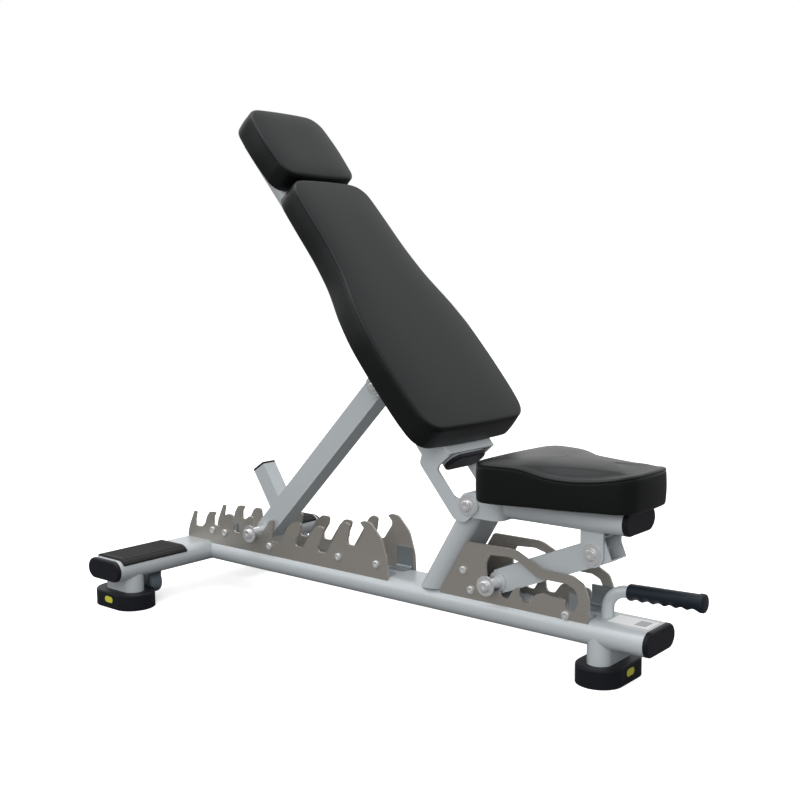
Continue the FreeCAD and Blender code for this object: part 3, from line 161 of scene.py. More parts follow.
floor_mesh = bpy.data.meshes.new("studio_floor")
reach = 14.0
floor_mesh.from_pydata([(-reach, -reach, 0), (reach, -reach, 0), (reach, reach, 0), (-reach, reach, 0)], [],
                       [(0, 1, 2, 3)])
floor = bpy.data.objects.new("studio_floor", floor_mesh)
scene.collection.objects.link(floor)
studio_paper, paper_shader = flat_finish("studio_paper", (0.97, 0.97, 0.97), 0.9)
paper_path = studio_paper.node_tree.nodes.new("ShaderNodeLightPath")
paper_tone = studio_paper.node_tree.nodes.new("ShaderNodeMapRange")
paper_tone.inputs["To Min"].default_value = 0.14
paper_tone.inputs["To Max"].default_value = 0.98
paper_shader.inputs["Emission Color"].default_value = BACKDROP
paper_glow = studio_paper.node_tree.nodes.new("ShaderNodeMath")
paper_glow.operation = "MULTIPLY"
paper_glow.inputs[1].default_value = 0.50
studio_paper.node_tree.links.new(paper_path.outputs["Is Camera Ray"], paper_glow.inputs[0])
studio_paper.node_tree.links.new(paper_glow.outputs["Value"], paper_shader.inputs["Emission Strength"])
studio_paper.node_tree.links.new(paper_path.outputs["Is Camera Ray"], paper_tone.inputs["Value"])
studio_paper.node_tree.links.new(paper_tone.outputs["Result"], paper_shader.inputs["Base Color"])
floor_mesh.materials.append(studio_paper)


# ---------------------------------------------------------------- painted steel frame
# Flat-oval and square steel tubes, welded and powder coated in a satin silver with fine metal flake.
# The coat has a faint orange peel, and its tone drifts a little from tube to tube.
def new_group(name, inputs, outputs):
    """A shader node group with named sockets; returns the group, its input node and its output node."""
    group = bpy.data.node_groups.new(name, "ShaderNodeTree")
    for label, kind, value in inputs:
        socket = group.interface.new_socket(label, in_out="INPUT", socket_type=kind)
        socket.default_value = value
    for label, kind in outputs:
        group.interface.new_socket(label, in_out="OUTPUT", socket_type=kind)
    return group, group.nodes.new("NodeGroupInput"), group.nodes.new("NodeGroupOutput")


def colour_drift_group():
    """Mixes two tones by slow noise in the piece's own coordinates."""
    group, given, out = new_group("colour_drift", [
        ("Tone", "NodeSocketColor", (0.5, 0.5, 0.5, 1.0)), ("Other tone", "NodeSocketColor", (0.4, 0.4, 0.4, 1.0)),
        ("Patches per metre", "NodeSocketFloat", 6.0), ("Stretch", "NodeSocketVector", (1.0, 1.0, 1.0))],
        [("Colour", "NodeSocketColor")])
    place = group.nodes.new("ShaderNodeTexCoord")
    stretch = group.nodes.new("ShaderNodeVectorMath")
    stretch.operation = "MULTIPLY"
    noise = group.nodes.new("ShaderNodeTexNoise")
    noise.inputs["Detail"].default_value = 4.0
    mix = group.nodes.new("ShaderNodeMix")
    mix.data_type = "RGBA"
    link = group.links.new
    link(place.outputs["Object"], stretch.inputs[0])
    link(given.outputs["Stretch"], stretch.inputs[1])
    link(stretch.outputs["Vector"], noise.inputs["Vector"])
    link(given.outputs["Patches per metre"], noise.inputs["Scale"])
    link(noise.outputs["Fac"], mix.inputs["Factor"])
    link(given.outputs["Tone"], mix.inputs[6])
    link(given.outputs["Other tone"], mix.inputs[7])
    link(mix.outputs[2], out.inputs["Colour"])
    return group


def fine_texture_group():
    """Fine noise, stretched if wanted: a height for bump and a roughness between two ends."""
    group, given, out = new_group("fine_texture", [
        ("Grains per metre", "NodeSocketFloat", 600.0), ("Stretch", "NodeSocketVector", (1.0, 1.0, 1.0)),
        ("Smoothest", "NodeSocketFloat", 0.3), ("Roughest", "NodeSocketFloat", 0.4)],
        [("Height", "NodeSocketFloat"), ("Roughness", "NodeSocketFloat")])
    place = group.nodes.new("ShaderNodeTexCoord")
    stretch = group.nodes.new("ShaderNodeVectorMath")
    stretch.operation = "MULTIPLY"
    noise = group.nodes.new("ShaderNodeTexNoise")
    noise.inputs["Detail"].default_value = 3.0
    spread = group.nodes.new("ShaderNodeMapRange")
    link = group.links.new
    link(place.outputs["Object"], stretch.inputs[0])
    link(given.outputs["Stretch"], stretch.inputs[1])
    link(stretch.outputs["Vector"], noise.inputs["Vector"])
    link(given.outputs["Grains per metre"], noise.inputs["Scale"])
    link(noise.outputs["Fac"], out.inputs["Height"])
    link(noise.outputs["Fac"], spread.inputs["Value"])
    link(given.outputs["Smoothest"], spread.inputs["To Min"])
    link(given.outputs["Roughest"], spread.inputs["To Max"])
    link(spread.outputs["Result"], out.inputs["Roughness"])
    return group


COLOUR_DRIFT = colour_drift_group()
FINE_TEXTURE = fine_texture_group()
EVEN = (1.0, 1.0, 1.0)


def worked_finish(name, tone, other_tone, patches, roughness, grains, depth, metallic=0.0, stretch=EVEN,
                  tone_stretch=EVEN, strength=0.3):
    """A material whose colour drifts and whose fine texture drives roughness and bump."""
    made, shader = flat_finish(name, tone, roughness[0], metallic)
    tree = made.node_tree
    drift = tree.nodes.new("ShaderNodeGroup")
    drift.node_tree = COLOUR_DRIFT
    drift.inputs["Tone"].default_value = (*tone, 1.0)
    drift.inputs["Other tone"].default_value = (*other_tone, 1.0)
    drift.inputs["Patches per metre"].default_value = patches
    drift.inputs["Stretch"].default_value = tone_stretch
    fine = tree.nodes.new("ShaderNodeGroup")
    fine.node_tree = FINE_TEXTURE
    fine.inputs["Grains per metre"].default_value = grains
    fine.inputs["Stretch"].default_value = stretch
    fine.inputs["Smoothest"].default_value = roughness[0]
    fine.inputs["Roughest"].default_value = roughness[1]
    bump = tree.nodes.new("ShaderNodeBump")
    bump.inputs["Distance"].default_value = depth
    bump.inputs["Strength"].default_value = strength
    tree.links.new(drift.outputs["Colour"], shader.inputs["Base Color"])
    tree.links.new(fine.outputs["Roughness"], shader.inputs["Roughness"])
    tree.links.new(fine.outputs["Height"], bump.inputs["Height"])
    tree.links.new(bump.outputs["Normal"], shader.inputs["Normal"])
    return made, shader


def dress(names, finish):
    """Gives the carried-over steel nodes their material."""
    for name in names:
        steel[name].data.materials.clear()
        steel[name].data.materials.append(finish)


silver_paint, silver_shader = worked_finish(
    "silver_powder_coat", (0.52, 0.555, 0.575), (0.48, 0.515, 0.535), 9.0, (0.30, 0.42), 900.0, 0.0002,
    metallic=0.22)
silver_shader.inputs["Coat Weight"].default_value = 0.25
silver_shader.inputs["Coat Roughness"].default_value = 0.18
dress(["base_tube", "rear_cross_tube", "seat_post", "pivot_hub", "foot_stubs", "carry_handle", "back_tube",
       "back_bracket_left", "back_bracket_right", "back_mount_plates", "strut_ears", "strut_tube", "strut_stub",
       "strut_sleeve", "seat_tube", "seat_bracket", "link_ears", "link_tube", "link_sleeve"], silver_paint)

# ---------------------------------------------------------------- ladder plates
# Laser-cut stainless plates with hooked notches, brushed along their length, with a warm grey cast.
brushed_plate, _ = worked_finish(
    "brushed_stainless", (0.53, 0.50, 0.46), (0.44, 0.415, 0.38), 5.0, (0.30, 0.50), 1500.0, 0.0003,
    metallic=0.75, stretch=(0.03, 1.0, 1.0), tone_stretch=(0.3, 1.0, 2.0), strength=0.2)
dress(["rear_ladder_left", "rear_ladder_right", "seat_ladder_left", "seat_ladder_right"], brushed_plate)

# ---------------------------------------------------------------- zinc plated fittings
# Angle brackets, wheel hangers and pad screws, zinc plated with a bluish, slightly cloudy surface.
zinc_plate, _ = worked_finish("zinc_plating", (0.50, 0.54, 0.57), (0.40, 0.44, 0.48), 40.0, (0.28, 0.48), 500.0,
                              0.0002, metallic=0.9)
dress(["rear_ladder_brackets", "seat_ladder_brackets", "wheel_brackets", "pad_bolts"], zinc_plate)

# ---------------------------------------------------------------- bright fasteners and lock pins
# Turned and chrome-plated washers, button heads and pins, with faint turning marks.
bright_chrome, _ = worked_finish("bright_chrome", (0.90, 0.90, 0.91), (0.84, 0.85, 0.86), 60.0, (0.12, 0.26), 700.0,
                                 0.00005, metallic=0.75)
dress(["ladder_bolts", "main_pivot_bolt", "main_pivot_washers", "strut_pivot_bolt", "strut_pivot_washers",
       "strut_pin", "strut_pin_ends", "link_pivot_bolt", "link_pivot_washers", "link_pin", "link_pin_ends"],
      bright_chrome)

# ---------------------------------------------------------------- tube caps
# Moulded plastic plugs in the tube ends, near black with a blue cast and a fine spark-eroded grain.
cap_plastic, cap_shader = worked_finish(
    "cap_plastic", (0.0045, 0.005, 0.009), (0.007, 0.0075, 0.012), 30.0, (0.36, 0.52), 1400.0, 0.0002)
cap_shader.inputs["Specular IOR Level"].default_value = 0.28
dress(["front_end_cap", "rear_end_cap_left", "rear_end_cap_right", "back_cap_lower", "back_cap_upper",
       "strut_stub_cap", "seat_tube_cap"], cap_plastic)

# ---------------------------------------------------------------- rubber feet and inserts
# Solid black rubber feet with a satin moulded skin, each with a yellow-green plastic insert in its outer face.
foot_rubber, rubber_shader = worked_finish(
    "foot_rubber", (0.005, 0.006, 0.009), (0.008, 0.009, 0.012), 25.0, (0.42, 0.60), 900.0, 0.0003)
rubber_shader.inputs["Specular IOR Level"].default_value = 0.28
dress(["front_foot", "rear_foot_left", "rear_foot_right"], foot_rubber)
insert_plastic, _ = worked_finish("insert_plastic", (0.60, 0.57, 0.055), (0.52, 0.50, 0.05), 60.0, (0.3, 0.4),
                                  900.0, 0.0001)
dress(["foot_inserts"], insert_plastic)

# ---------------------------------------------------------------- transport wheels
# Two grey-blue moulded wheels under the cross tube.
wheel_plastic, _ = worked_finish("wheel_plastic", (0.13, 0.16, 0.18), (0.10, 0.12, 0.14), 30.0, (0.4, 0.55), 900.0,
                                 0.0002)
dress(["wheel_left", "wheel_right"], wheel_plastic)


# ---------------------------------------------------------------- pads
# The back pad, headrest and seat pad are black vinyl over firm foam on a plywood board. A side band is sewn to
# the top panel in a fine seam just under the edge, and the vinyl is turned in under the board.
def smooth_run(stations, values, at, spread):
    """Values between stations, joined by straight runs and then rounded by a bell curve of the given spread."""
    low, high = min(stations), max(stations)
    step = spread / 6.0
    grid = np.arange(low - 4 * spread, high + 4 * spread + step, step)
    raw = np.interp(grid, stations, values)
    reach = np.arange(-18, 19) * step
    bell = np.exp(-0.5 * (reach / spread) ** 2)
    rounded = np.convolve(raw, bell / bell.sum(), mode="same")
    return np.interp(at, grid[18:-18], rounded[18:-18])


def pad_outline(stations, half_widths, corner_low, corner_high, bow_low, bow_high, spread, count):
    """Closed outline of a pad: half widths along its length, with a quarter ellipse at each corner.

    The ends bow out by bow_low and bow_high at the middle. Returns count points, evenly spaced by length.
    """
    start, end = stations[0], stations[-1]
    quarter = np.linspace(0, math.pi / 2, 60)
    low_half = smooth_run(stations, half_widths, np.array([start + corner_low]), spread)[0]
    high_half = smooth_run(stations, half_widths, np.array([end - corner_high]), spread)[0]
    low_flat = np.linspace(0, low_half - corner_low, 40, endpoint=False)
    bow = bow_low * (low_flat / low_half) ** 2
    low_x = np.concatenate([start + bow, start + corner_low * (1 - np.cos(quarter))
                            + bow_low * ((low_half - corner_low) / low_half) ** 2 * np.cos(quarter)])
    low_y = np.concatenate([low_flat, low_half - corner_low + corner_low * np.sin(quarter)])
    side_x = np.linspace(start + corner_low, end - corner_high, 200)[1:-1]
    side_y = smooth_run(stations, half_widths, side_x, spread)
    high_flat = np.linspace(0, high_half - corner_high, 40, endpoint=False)
    bow = bow_high * (high_flat / high_half) ** 2
    high_x = np.concatenate([end - bow, end - corner_high * (1 - np.cos(quarter))
                             - bow_high * ((high_half - corner_high) / high_half) ** 2 * np.cos(quarter)])[::-1]
    high_y = np.concatenate([high_flat, high_half - corner_high + corner_high * np.sin(quarter)])[::-1]
    half_x = np.concatenate([low_x, side_x, high_x])
    half_y = np.concatenate([low_y, side_y, high_y])
    x = np.concatenate([half_x, half_x[::-1][1:-1]])
    y = np.concatenate([half_y, -half_y[::-1][1:-1]])
    loop = np.stack([np.append(x, x[0]), np.append(y, y[0])], 1)
    length = np.concatenate([[0], np.cumsum(np.linalg.norm(np.diff(loop, axis=0), axis=1))])
    even = np.linspace(0, length[-1], count, endpoint=False)
    return np.stack([np.interp(even, length, loop[:, 0]), np.interp(even, length, loop[:, 1])], 1)


def settle(points, passes):
    """Rounds a closed outline by averaging each point with its two neighbours."""
    for _ in range(passes):
        points = 0.5 * points + 0.25 * (np.roll(points, 1, 0) + np.roll(points, -1, 0))
    return points


def outward(points):
    """Unit normals of a closed outline in its plane, pointing out of it."""
    along = np.roll(points, -1, 0) - np.roll(points, 1, 0)
    along /= np.linalg.norm(along, axis=1)[:, None]
    normal = np.stack([along[:, 1], -along[:, 0]], 1)
    middle = points.mean(0)
    return normal * np.sign(((points - middle) * normal).sum())


def closed_surface(name, rings, place):
    """A mesh of closed rings joined by quads. rings has the shape (rings, points, 3); place puts it in the room."""
    count, points = rings.shape[:2]
    flat = rings.reshape(-1, 3) @ np.array(place.to_3x3()).T + np.array(place.translation)
    ring, point = np.meshgrid(np.arange(count - 1), np.arange(points), indexing="ij")
    first = ring * points + point
    second = ring * points + (point + 1) % points
    quads = np.stack([first, second, second + points, first + points], -1).reshape(-1, 4)
    mesh = bpy.data.meshes.new(name)
    mesh.from_pydata(flat.tolist(), [], quads.tolist())
    work = bmesh.new()
    work.from_mesh(mesh)
    bmesh.ops.remove_doubles(work, verts=work.verts, dist=0.00012)
    bmesh.ops.dissolve_degenerate(work, edges=work.edges, dist=0.00002)
    bmesh.ops.recalc_face_normals(work, faces=work.faces)
    work.to_mesh(mesh)
    work.free()
    mesh.shade_smooth()
    piece = bpy.data.objects.new(name, mesh)
    scene.collection.objects.link(piece)
    return piece


# The half section of every pad from the middle of its underside to the seam: how far in from the outline, and
# how high above the underside, in metres. The vinyl lip under the board is 24 mm wide.
LIP = [(0.0245, 0.0014), (0.0240, 0.0004), (0.0225, 0.0), (0.014, 0.0), (0.0045, 0.0001), (0.0022, 0.0007),
       (0.0008, 0.0022), (0.0001, 0.0050)]
SEAM_HALF = 0.0016
SEAM_DEPTH = 0.0013


def pad_rings(outline, side_height, side_bulge, roll, top_height, spine_ends, top_steps=26, slant=(0.0, 0.0)):
    """Rings of an upholstered pad from its underside, up the side band, through the seam and over the top.

    side_height gives the seam height for each outline point and top_height the height of the top panel over any
    plan point, as functions of plan points. roll is the radius of the edge above the seam. slant is how far the
    low and the high end face lean out at the underside.
    """
    normal = outward(outline)
    spine = np.stack([np.clip(outline[:, 0], *spine_ends), np.zeros(len(outline))], 1)
    seam = side_height(outline)
    rings = []

    reach = outline[:, 0].max() - outline[:, 0].min()
    lean = slant[1] * np.clip((outline[:, 0] - outline[:, 0].max() + 0.3 * reach) / (0.3 * reach), 0, 1) ** 2
    lean = lean - slant[0] * np.clip((outline[:, 0].min() + 0.3 * reach - outline[:, 0]) / (0.3 * reach), 0, 1) ** 2

    def add(plan, height):
        share = np.clip(1 - height / seam, 0, 1)
        rings.append(np.column_stack([plan[:, 0] + lean * share, plan[:, 1], np.broadcast_to(height, len(plan))]))

    for share in (1.0, 0.6, 0.3):
        plan = outline - normal * LIP[0][0]
        add(plan + (spine - plan) * share, LIP[0][1])
    for inset, height in LIP:
        add(outline - normal * inset, height)
    for share in np.linspace(0.08, 1.0, 12)[:-1]:
        bulge = side_bulge * math.sin(math.pi * share)
        add(outline + normal * bulge, LIP[-1][1] + (seam - SEAM_HALF - LIP[-1][1]) * share)
    for drop, depth in ((-1.0, 0.0), (-0.55, 0.25), (-0.2, 0.85), (0.0, 1.0), (0.2, 0.85), (0.55, 0.2), (1.0, -0.15)):
        add(outline - normal * SEAM_DEPTH * depth, seam + SEAM_HALF * drop)
    start = seam + SEAM_HALF
    for turn in np.linspace(0, math.pi / 2, 9)[1:]:
        inset = roll * (1 - math.cos(turn))
        plan = outline - normal * inset
        target = top_height(plan, np.full(len(plan), inset))
        add(plan, start + (target - start) * math.sin(turn))
    inner = outline - normal * roll
    for inset in np.linspace(roll, 0.030, 6)[1:]:
        inner = outline - normal * inset
        add(inner, top_height(inner, np.full(len(inner), inset)))
    gap = np.linalg.norm(inner - spine, axis=1)
    for share in np.linspace(0, 1, top_steps + 1)[1:]:
        plan = inner + (spine - inner) * share
        add(plan, top_height(plan, 0.030 + gap * share))
    return np.array(rings)


def vinyl_finish():
    """Soft black vinyl: a slow tone drift, a pebble grain of about a millimetre, and a low sheen whose pale blue tint
    is painted in, standing for the bluish light the vinyl reflects.
    """
    made, shader = worked_finish("black_vinyl", (0.0036, 0.0037, 0.0035), (0.0052, 0.0052, 0.0047), 7.0, (0.30, 0.40),
                                 260.0, 0.0004, strength=0.10)
    tree = made.node_tree
    place = tree.nodes.new("ShaderNodeTexCoord")
    pebble = tree.nodes.new("ShaderNodeTexVoronoi")
    pebble.inputs["Scale"].default_value = 700.0
    bump = tree.nodes.new("ShaderNodeBump")
    bump.inputs["Strength"].default_value = 0.12
    bump.inputs["Distance"].default_value = 0.0003
    first = next(node for node in tree.nodes if node.type == "BUMP" and node != bump)
    tree.links.new(place.outputs["Object"], pebble.inputs["Vector"])
    tree.links.new(pebble.outputs["Distance"], bump.inputs["Height"])
    tree.links.new(first.outputs["Normal"], bump.inputs["Normal"])
    tree.links.new(bump.outputs["Normal"], shader.inputs["Normal"])
    shader.inputs["Specular IOR Level"].default_value = 0.27
    # Painted reflection colour: the pale blue specular tint stands in for bluish reflected light; the sheen itself
    # comes from the lamps and the air.
    shader.inputs["Specular Tint"].default_value = (0.86, 0.95, 1.0, 1.0)
    return made


black_vinyl = vinyl_finish()


def upholster(name, rings, place, body, node):
    """Makes a pad from its rings and puts it in place of its plain solid."""
    piece = closed_surface(name, rings, place)
    piece.data.materials.append(black_vinyl)
    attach(piece, body)
    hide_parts(node)
    return piece


BACK_ANGLE = math.radians(50.0)
hinge = Vector(joints["back_recline"]["pos_m"])
# Back coordinates: first along the back from the hinge, then to its left, then out of its padded face.
back_place = Matrix.Translation(hinge) @ Matrix((
    (-math.cos(BACK_ANGLE), 0, math.sin(BACK_ANGLE), 0), (0, -1, 0, 0),
    (math.sin(BACK_ANGLE), 0, math.cos(BACK_ANGLE), 0), (0, 0, 0, 1)))
BACK_UNDERSIDE = 0.0331
BACK_SEAM = 0.0512
BACK_ROLL = 0.0075


def back_side(plan):
    """The seam height of the back pad and the headrest: the same all round."""
    return np.full(len(plan), BACK_SEAM)


def flat_crown(stations, half_widths, spread):
    """The height of a firm, nearly flat top: full over the middle and falling smoothly to every edge.

    Height is the edge level plus the crown times 1 - a^4 across and 1 - b^6 along, where a and b run from 0 at
    the middle to 1 at the outline.
    """
    middle, reach = (stations[0] + stations[-1]) / 2, (stations[-1] - stations[0]) / 2

    def height(plan, inset):
        across = np.abs(plan[:, 1]) / smooth_run(stations, half_widths, plan[:, 0], spread)
        along = np.abs(plan[:, 0] - middle) / reach
        crown = np.clip(1 - across ** 4, 0, 1) * np.clip(1 - along ** 6, 0, 1)
        return BACK_SEAM + SEAM_HALF + 0.0050 + 0.0050 * crown

    return height


lift = Matrix.Translation((0, 0, BACK_UNDERSIDE))
BACK_STATIONS = [0.133, 0.150, 0.175, 0.200, 0.295, 0.388, 0.457, 0.540, 0.620, 0.725, 0.818]
BACK_HALVES = [0.166, 0.171, 0.177, 0.1815, 0.184, 0.181, 0.168, 0.141, 0.130, 0.127, 0.122]
back_outline = settle(pad_outline(BACK_STATIONS, BACK_HALVES, 0.046, 0.048, 0.004, 0.006, 0.018, 380), 6)
back_top = flat_crown(BACK_STATIONS, BACK_HALVES, 0.018)
back_rings = pad_rings(back_outline, back_side, 0.0012, BACK_ROLL, back_top, (0.30, 0.69), slant=(0.011, 0.0))
upholster("back_pad_vinyl", back_rings, back_place @ lift, "backrest", "back_pad")
HEADREST_STATIONS = [0.827, 0.860, 0.930, 0.990, 1.036]
HEADREST_HALVES = [0.114, 0.118, 0.1235, 0.120, 0.114]
headrest_outline = settle(pad_outline(HEADREST_STATIONS, HEADREST_HALVES, 0.034, 0.048, 0.005, 0.006, 0.016, 260), 5)
headrest_top = flat_crown(HEADREST_STATIONS, HEADREST_HALVES, 0.016)
headrest_rings = pad_rings(headrest_outline, back_side, 0.0012, BACK_ROLL, headrest_top, (0.92, 0.935))
upholster("headrest_vinyl", headrest_rings, back_place @ lift, "backrest", "headrest_pad")

# The seat pad keeps its edge high at the rear, and is scooped on each side for the thighs, so that a wide flat
# runs into a narrower ridge towards the front.
SEAT_LIP = 0.0009
seat_place = Matrix.Translation((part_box("seat_pad")[0].x, 0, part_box("seat_board")[0].z - SEAT_LIP))
SEAT_ROLL = 0.0125
EDGE_RISE = 0.0060
SEAT_STATIONS = [0.0, 0.020, 0.046, 0.101, 0.116, 0.141, 0.166, 0.213, 0.260, 0.301, 0.326]
SEAM_LEVELS = [0.0715, 0.0725, 0.0725, 0.0720, 0.0700, 0.0625, 0.0565, 0.0535, 0.0560, 0.0630, 0.0680]
CREST_LEVELS = [0.0825, 0.0845, 0.0855, 0.0860, 0.0858, 0.0852, 0.0848, 0.0840, 0.0828, 0.0815, 0.0800]
CREST_SHARE = [0.97, 0.97, 0.97, 0.95, 0.87, 0.76, 0.68, 0.60, 0.58, 0.64, 0.72]


def seat_seam(plan):
    """The seam height of the seat pad: SEAM_LEVELS along its length, with the corners of that line rounded."""
    return smooth_run(SEAT_STATIONS, SEAM_LEVELS, plan[:, 0], 0.012)


def seat_top(plan, inset):
    """The crest level over the middle, falling to the seam level across the scooped thigh sides.

    The fall across a scoop is half a cosine wave, so the scoop is round at its crest and hollow by the seam.
    """
    along = plan[:, 0]
    seam = smooth_run(SEAT_STATIONS, SEAM_LEVELS, along, 0.012)
    crest = smooth_run(SEAT_STATIONS, CREST_LEVELS, along, 0.012)
    share = smooth_run(SEAT_STATIONS, CREST_SHARE, along, 0.012)
    half = smooth_run(SEAT_STATIONS, SEAT_HALVES, along, 0.012)
    across = np.abs(plan[:, 1]) / half
    fall = np.clip((across - share) / np.maximum(1.0 - share, 0.05), 0, 1)
    scoop = 0.5 - 0.5 * np.cos(math.pi * fall ** 0.75)
    edge = seam + SEAM_HALF + EDGE_RISE
    dome = 1 - np.exp(-np.maximum(inset - 0.010, 0) / 0.030)
    lift = np.maximum(crest - edge, 0.0)
    low = np.minimum(edge, crest)
    return low + lift * dome * (1 - scoop)


SEAT_HALVES = [0.143, 0.148, 0.150, 0.139, 0.133, 0.127, 0.124, 0.114, 0.100, 0.089, 0.083]
seat_outline = settle(pad_outline(SEAT_STATIONS, SEAT_HALVES, 0.042, 0.050, 0.010, 0.010, 0.014, 320), 8)
upholster("seat_pad_vinyl", pad_rings(seat_outline, seat_seam, 0.0014, SEAT_ROLL, seat_top, (0.140, 0.245), 34),
          seat_place, "seat", "seat_pad")

# ---------------------------------------------------------------- boards
# Plywood boards that carry the foam, stained near black and left raw at the back, inside the turned-in vinyl.
board_wood, _ = worked_finish("board_wood", (0.020, 0.018, 0.016), (0.032, 0.028, 0.024), 20.0, (0.55, 0.7), 300.0,
                              0.0004, tone_stretch=(0.2, 1.0, 1.0))
dress(["back_board", "headrest_board", "seat_board"], board_wood)

# ---------------------------------------------------------------- step pads
# Ribbed rubber treads that hug the top of the cross tube and wrap over its front and rear edges, with a plain
# rim all round and ribs along the middle.
TREAD_THICK = 0.0050
RIB_PITCH = 0.0072
RIB_DEPTH = 0.0014
TREAD_RIM = 0.009
TREAD_EDGE = 0.0025
REAR_WRAP = 0.42
FRONT_WRAP = 1.02
tread_rubber, tread_shader = worked_finish(
    "tread_rubber", (0.006, 0.0065, 0.0065), (0.011, 0.011, 0.010), 30.0, (0.45, 0.65), 900.0, 0.0003)


tread_shader.inputs["Specular IOR Level"].default_value = 0.32


def tread_rings(tube_low, tube_high, low_end, high_end):
    """Closed sections of a tread, one after another along the tube.

    A section follows the flat-oval tube: flat across the middle, then round each edge by REAR_WRAP or FRONT_WRAP
    radians. Its thickness is TREAD_THICK less a rib wave, RIB_DEPTH times a half cosine of the distance across
    raised to 0.6, inside the rim. It falls to nothing along a quarter circle of TREAD_EDGE at every edge.
    """
    radius = (tube_high.z - tube_low.z) / 2
    flat = (tube_high.x - tube_low.x) / 2 - radius
    centre = ((tube_high.x + tube_low.x) / 2, (tube_high.z + tube_low.z) / 2)
    along = np.linspace(-flat - radius * REAR_WRAP, flat + radius * FRONT_WRAP, 320)
    turn = np.sign(along) * np.maximum(np.abs(along) - flat, 0) / radius
    foot_x = np.clip(along, -flat, flat) + radius * np.sin(turn)
    foot_z = radius * np.cos(turn)
    side = np.minimum(along - along[0], along[-1] - along)
    rim = np.clip((side - TREAD_RIM) / 0.002, 0, 1)
    wave = rim * (0.5 - 0.5 * np.cos(2 * math.pi * along / RIB_PITCH)) ** 0.6
    edge = np.sqrt(np.clip(1 - (1 - np.clip(side / TREAD_EDGE, 0, 1)) ** 2, 0, 1))
    length = high_end - low_end
    steps = np.array([0, 0.0002, 0.0008, 0.0016, TREAD_EDGE, TREAD_RIM, TREAD_RIM + 0.002])
    rings = []
    for step in np.concatenate([steps, length - steps[::-1]]):
        near = min(step, length - step)
        end = math.sqrt(max(1 - (1 - min(near / TREAD_EDGE, 1)) ** 2, 0))
        ribs = 1.0 if near > TREAD_RIM + 0.001 else 0.0
        thick = (TREAD_THICK - RIB_DEPTH * wave * ribs) * edge * end
        out_x, out_z = foot_x + thick * np.sin(turn), foot_z + thick * np.cos(turn)
        across = np.concatenate([out_x, foot_x[::-1]]) + centre[0]
        height = np.concatenate([out_z, foot_z[::-1]]) + centre[1] + 0.0001
        rings.append(np.column_stack([across, np.full(len(across), low_end + step), height]))
    return np.array(rings)


tube_low, tube_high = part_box("rear_cross_tube")
for hand in ("left", "right"):
    pad_low, pad_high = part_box("step_pad_" + hand)
    tread = closed_surface("step_tread_" + hand, tread_rings(tube_low, tube_high, pad_low.y, pad_high.y),
                           Matrix.Identity(4))
    tread.data.set_sharp_from_angle(angle=math.radians(50))
    tread.data.materials.append(tread_rubber)
    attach(tread, "base")
    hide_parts("step_pad_" + hand)

# ---------------------------------------------------------------- handle grip
# A moulded rubber sleeve on the carry handle, with finger hollows along its underside and a flange at its end.
grip_low, grip_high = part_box("handle_grip")
GRIP_RADIUS = 0.0165
GRIP_BORE = 0.01215
FINGERS = 6
FINGER_DEPTH = 0.0036


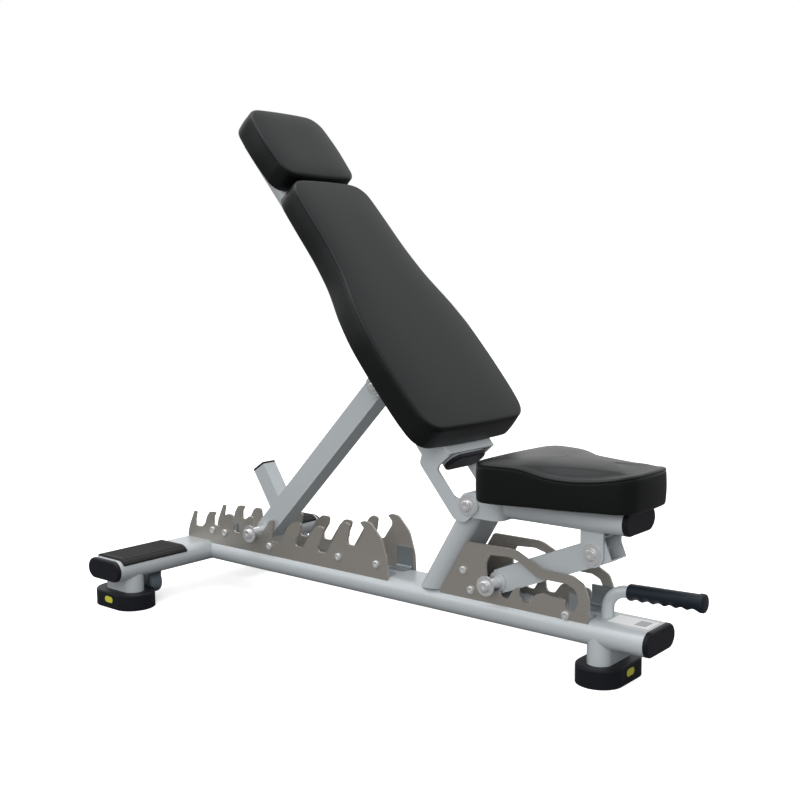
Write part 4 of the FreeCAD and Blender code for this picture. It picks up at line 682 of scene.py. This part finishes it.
def grip_rings():
    """Rings of the sleeve: out of its bore, round its mouth, along its outside and over its closed end.

    Below the axis the radius loses FINGER_DEPTH times a half cosine along the sleeve, one wave for each finger,
    fading to nothing at the sides.
    """
    start = Vector((grip_low.x, 0, grip_low.z + GRIP_RADIUS))
    end = Vector((grip_high.x, 0, grip_high.z - GRIP_RADIUS))
    length = (end - start).length
    along, turn = (end - start).normalized(), np.linspace(0, 2 * math.pi, 72, endpoint=False)
    up = Vector((0, 1, 0)).cross(along) * -1
    below = np.clip(-np.cos(turn), 0, 1) ** 0.8
    runs = [(length - 0.0026, 0.0), (length - 0.0026, GRIP_BORE), (0.0, GRIP_BORE), (0.0, GRIP_RADIUS - 0.003),
            (0.0008, GRIP_RADIUS - 0.0012), (0.0025, GRIP_RADIUS - 0.0003)]
    runs += [(step, GRIP_RADIUS) for step in np.linspace(0.005, length - 0.0105, 110)]
    runs += [(length - 0.010, GRIP_RADIUS), (length - 0.0095, GRIP_RADIUS + 0.0016),
             (length - 0.0030, GRIP_RADIUS + 0.0016), (length - 0.0012, GRIP_RADIUS + 0.0008),
             (length, GRIP_RADIUS - 0.0016), (length, 0.0)]
    rings = []
    for at, radius in runs:
        share = (at - 0.006) / (length - 0.018)
        hollow = 0.5 - 0.5 * math.cos(2 * math.pi * FINGERS * share) if 0 < share < 1 else 0.0
        reach = radius - FINGER_DEPTH * hollow ** 0.7 * below
        rings.append(np.array(start + along * at) + np.outer(reach * np.cos(turn), np.array(up))
                     + np.outer(reach * np.sin(turn), np.array((0.0, 1.0, 0.0))))
    return np.array(rings)


grip_rubber, grip_shader = worked_finish(
    "grip_rubber", (0.006, 0.010, 0.016), (0.009, 0.014, 0.021), 30.0, (0.34, 0.50), 900.0, 0.0002)
grip_shader.inputs["Specular IOR Level"].default_value = 0.30
grip = closed_surface("handle_sleeve", grip_rings(), Matrix.Identity(4))
grip.data.set_sharp_from_angle(angle=math.radians(40))
grip.data.materials.append(grip_rubber)
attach(grip, "base")
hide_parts("handle_grip")

# ---------------------------------------------------------------- label
# A blank white sticker on the flat top of the base tube, between the handle and the front end. One plain grey
# field stands on it, and no lettering.
base_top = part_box("base_tube")[1].z
handle_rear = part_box("carry_handle")[0].x
SHEET = 0.0002
LABEL_FIELDS = [((0.026, 0.112), 0.052, (0.86, 0.87, 0.88)), ((0.078, 0.102), 0.032, (0.40, 0.41, 0.42))]
for number, (span, wide, tone) in enumerate(LABEL_FIELDS):
    label_mesh = bpy.data.meshes.new("base_label_%d" % number)
    work = bmesh.new()
    bmesh.ops.create_cube(work, size=1.0)
    work.to_mesh(label_mesh)
    work.free()
    middle = Vector((handle_rear + (span[0] + span[1]) / 2, 0, base_top + 0.00022 + SHEET * number))
    label_mesh.transform(Matrix.Translation(middle) @ Matrix.Diagonal((span[1] - span[0], wide, SHEET, 1.0)))
    sticker = bpy.data.objects.new("base_label_%d" % number, label_mesh)
    scene.collection.objects.link(sticker)
    paper, _ = flat_finish("label_paper_%d" % number, tone, 0.45)
    label_mesh.materials.append(paper)
    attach(sticker, "base")
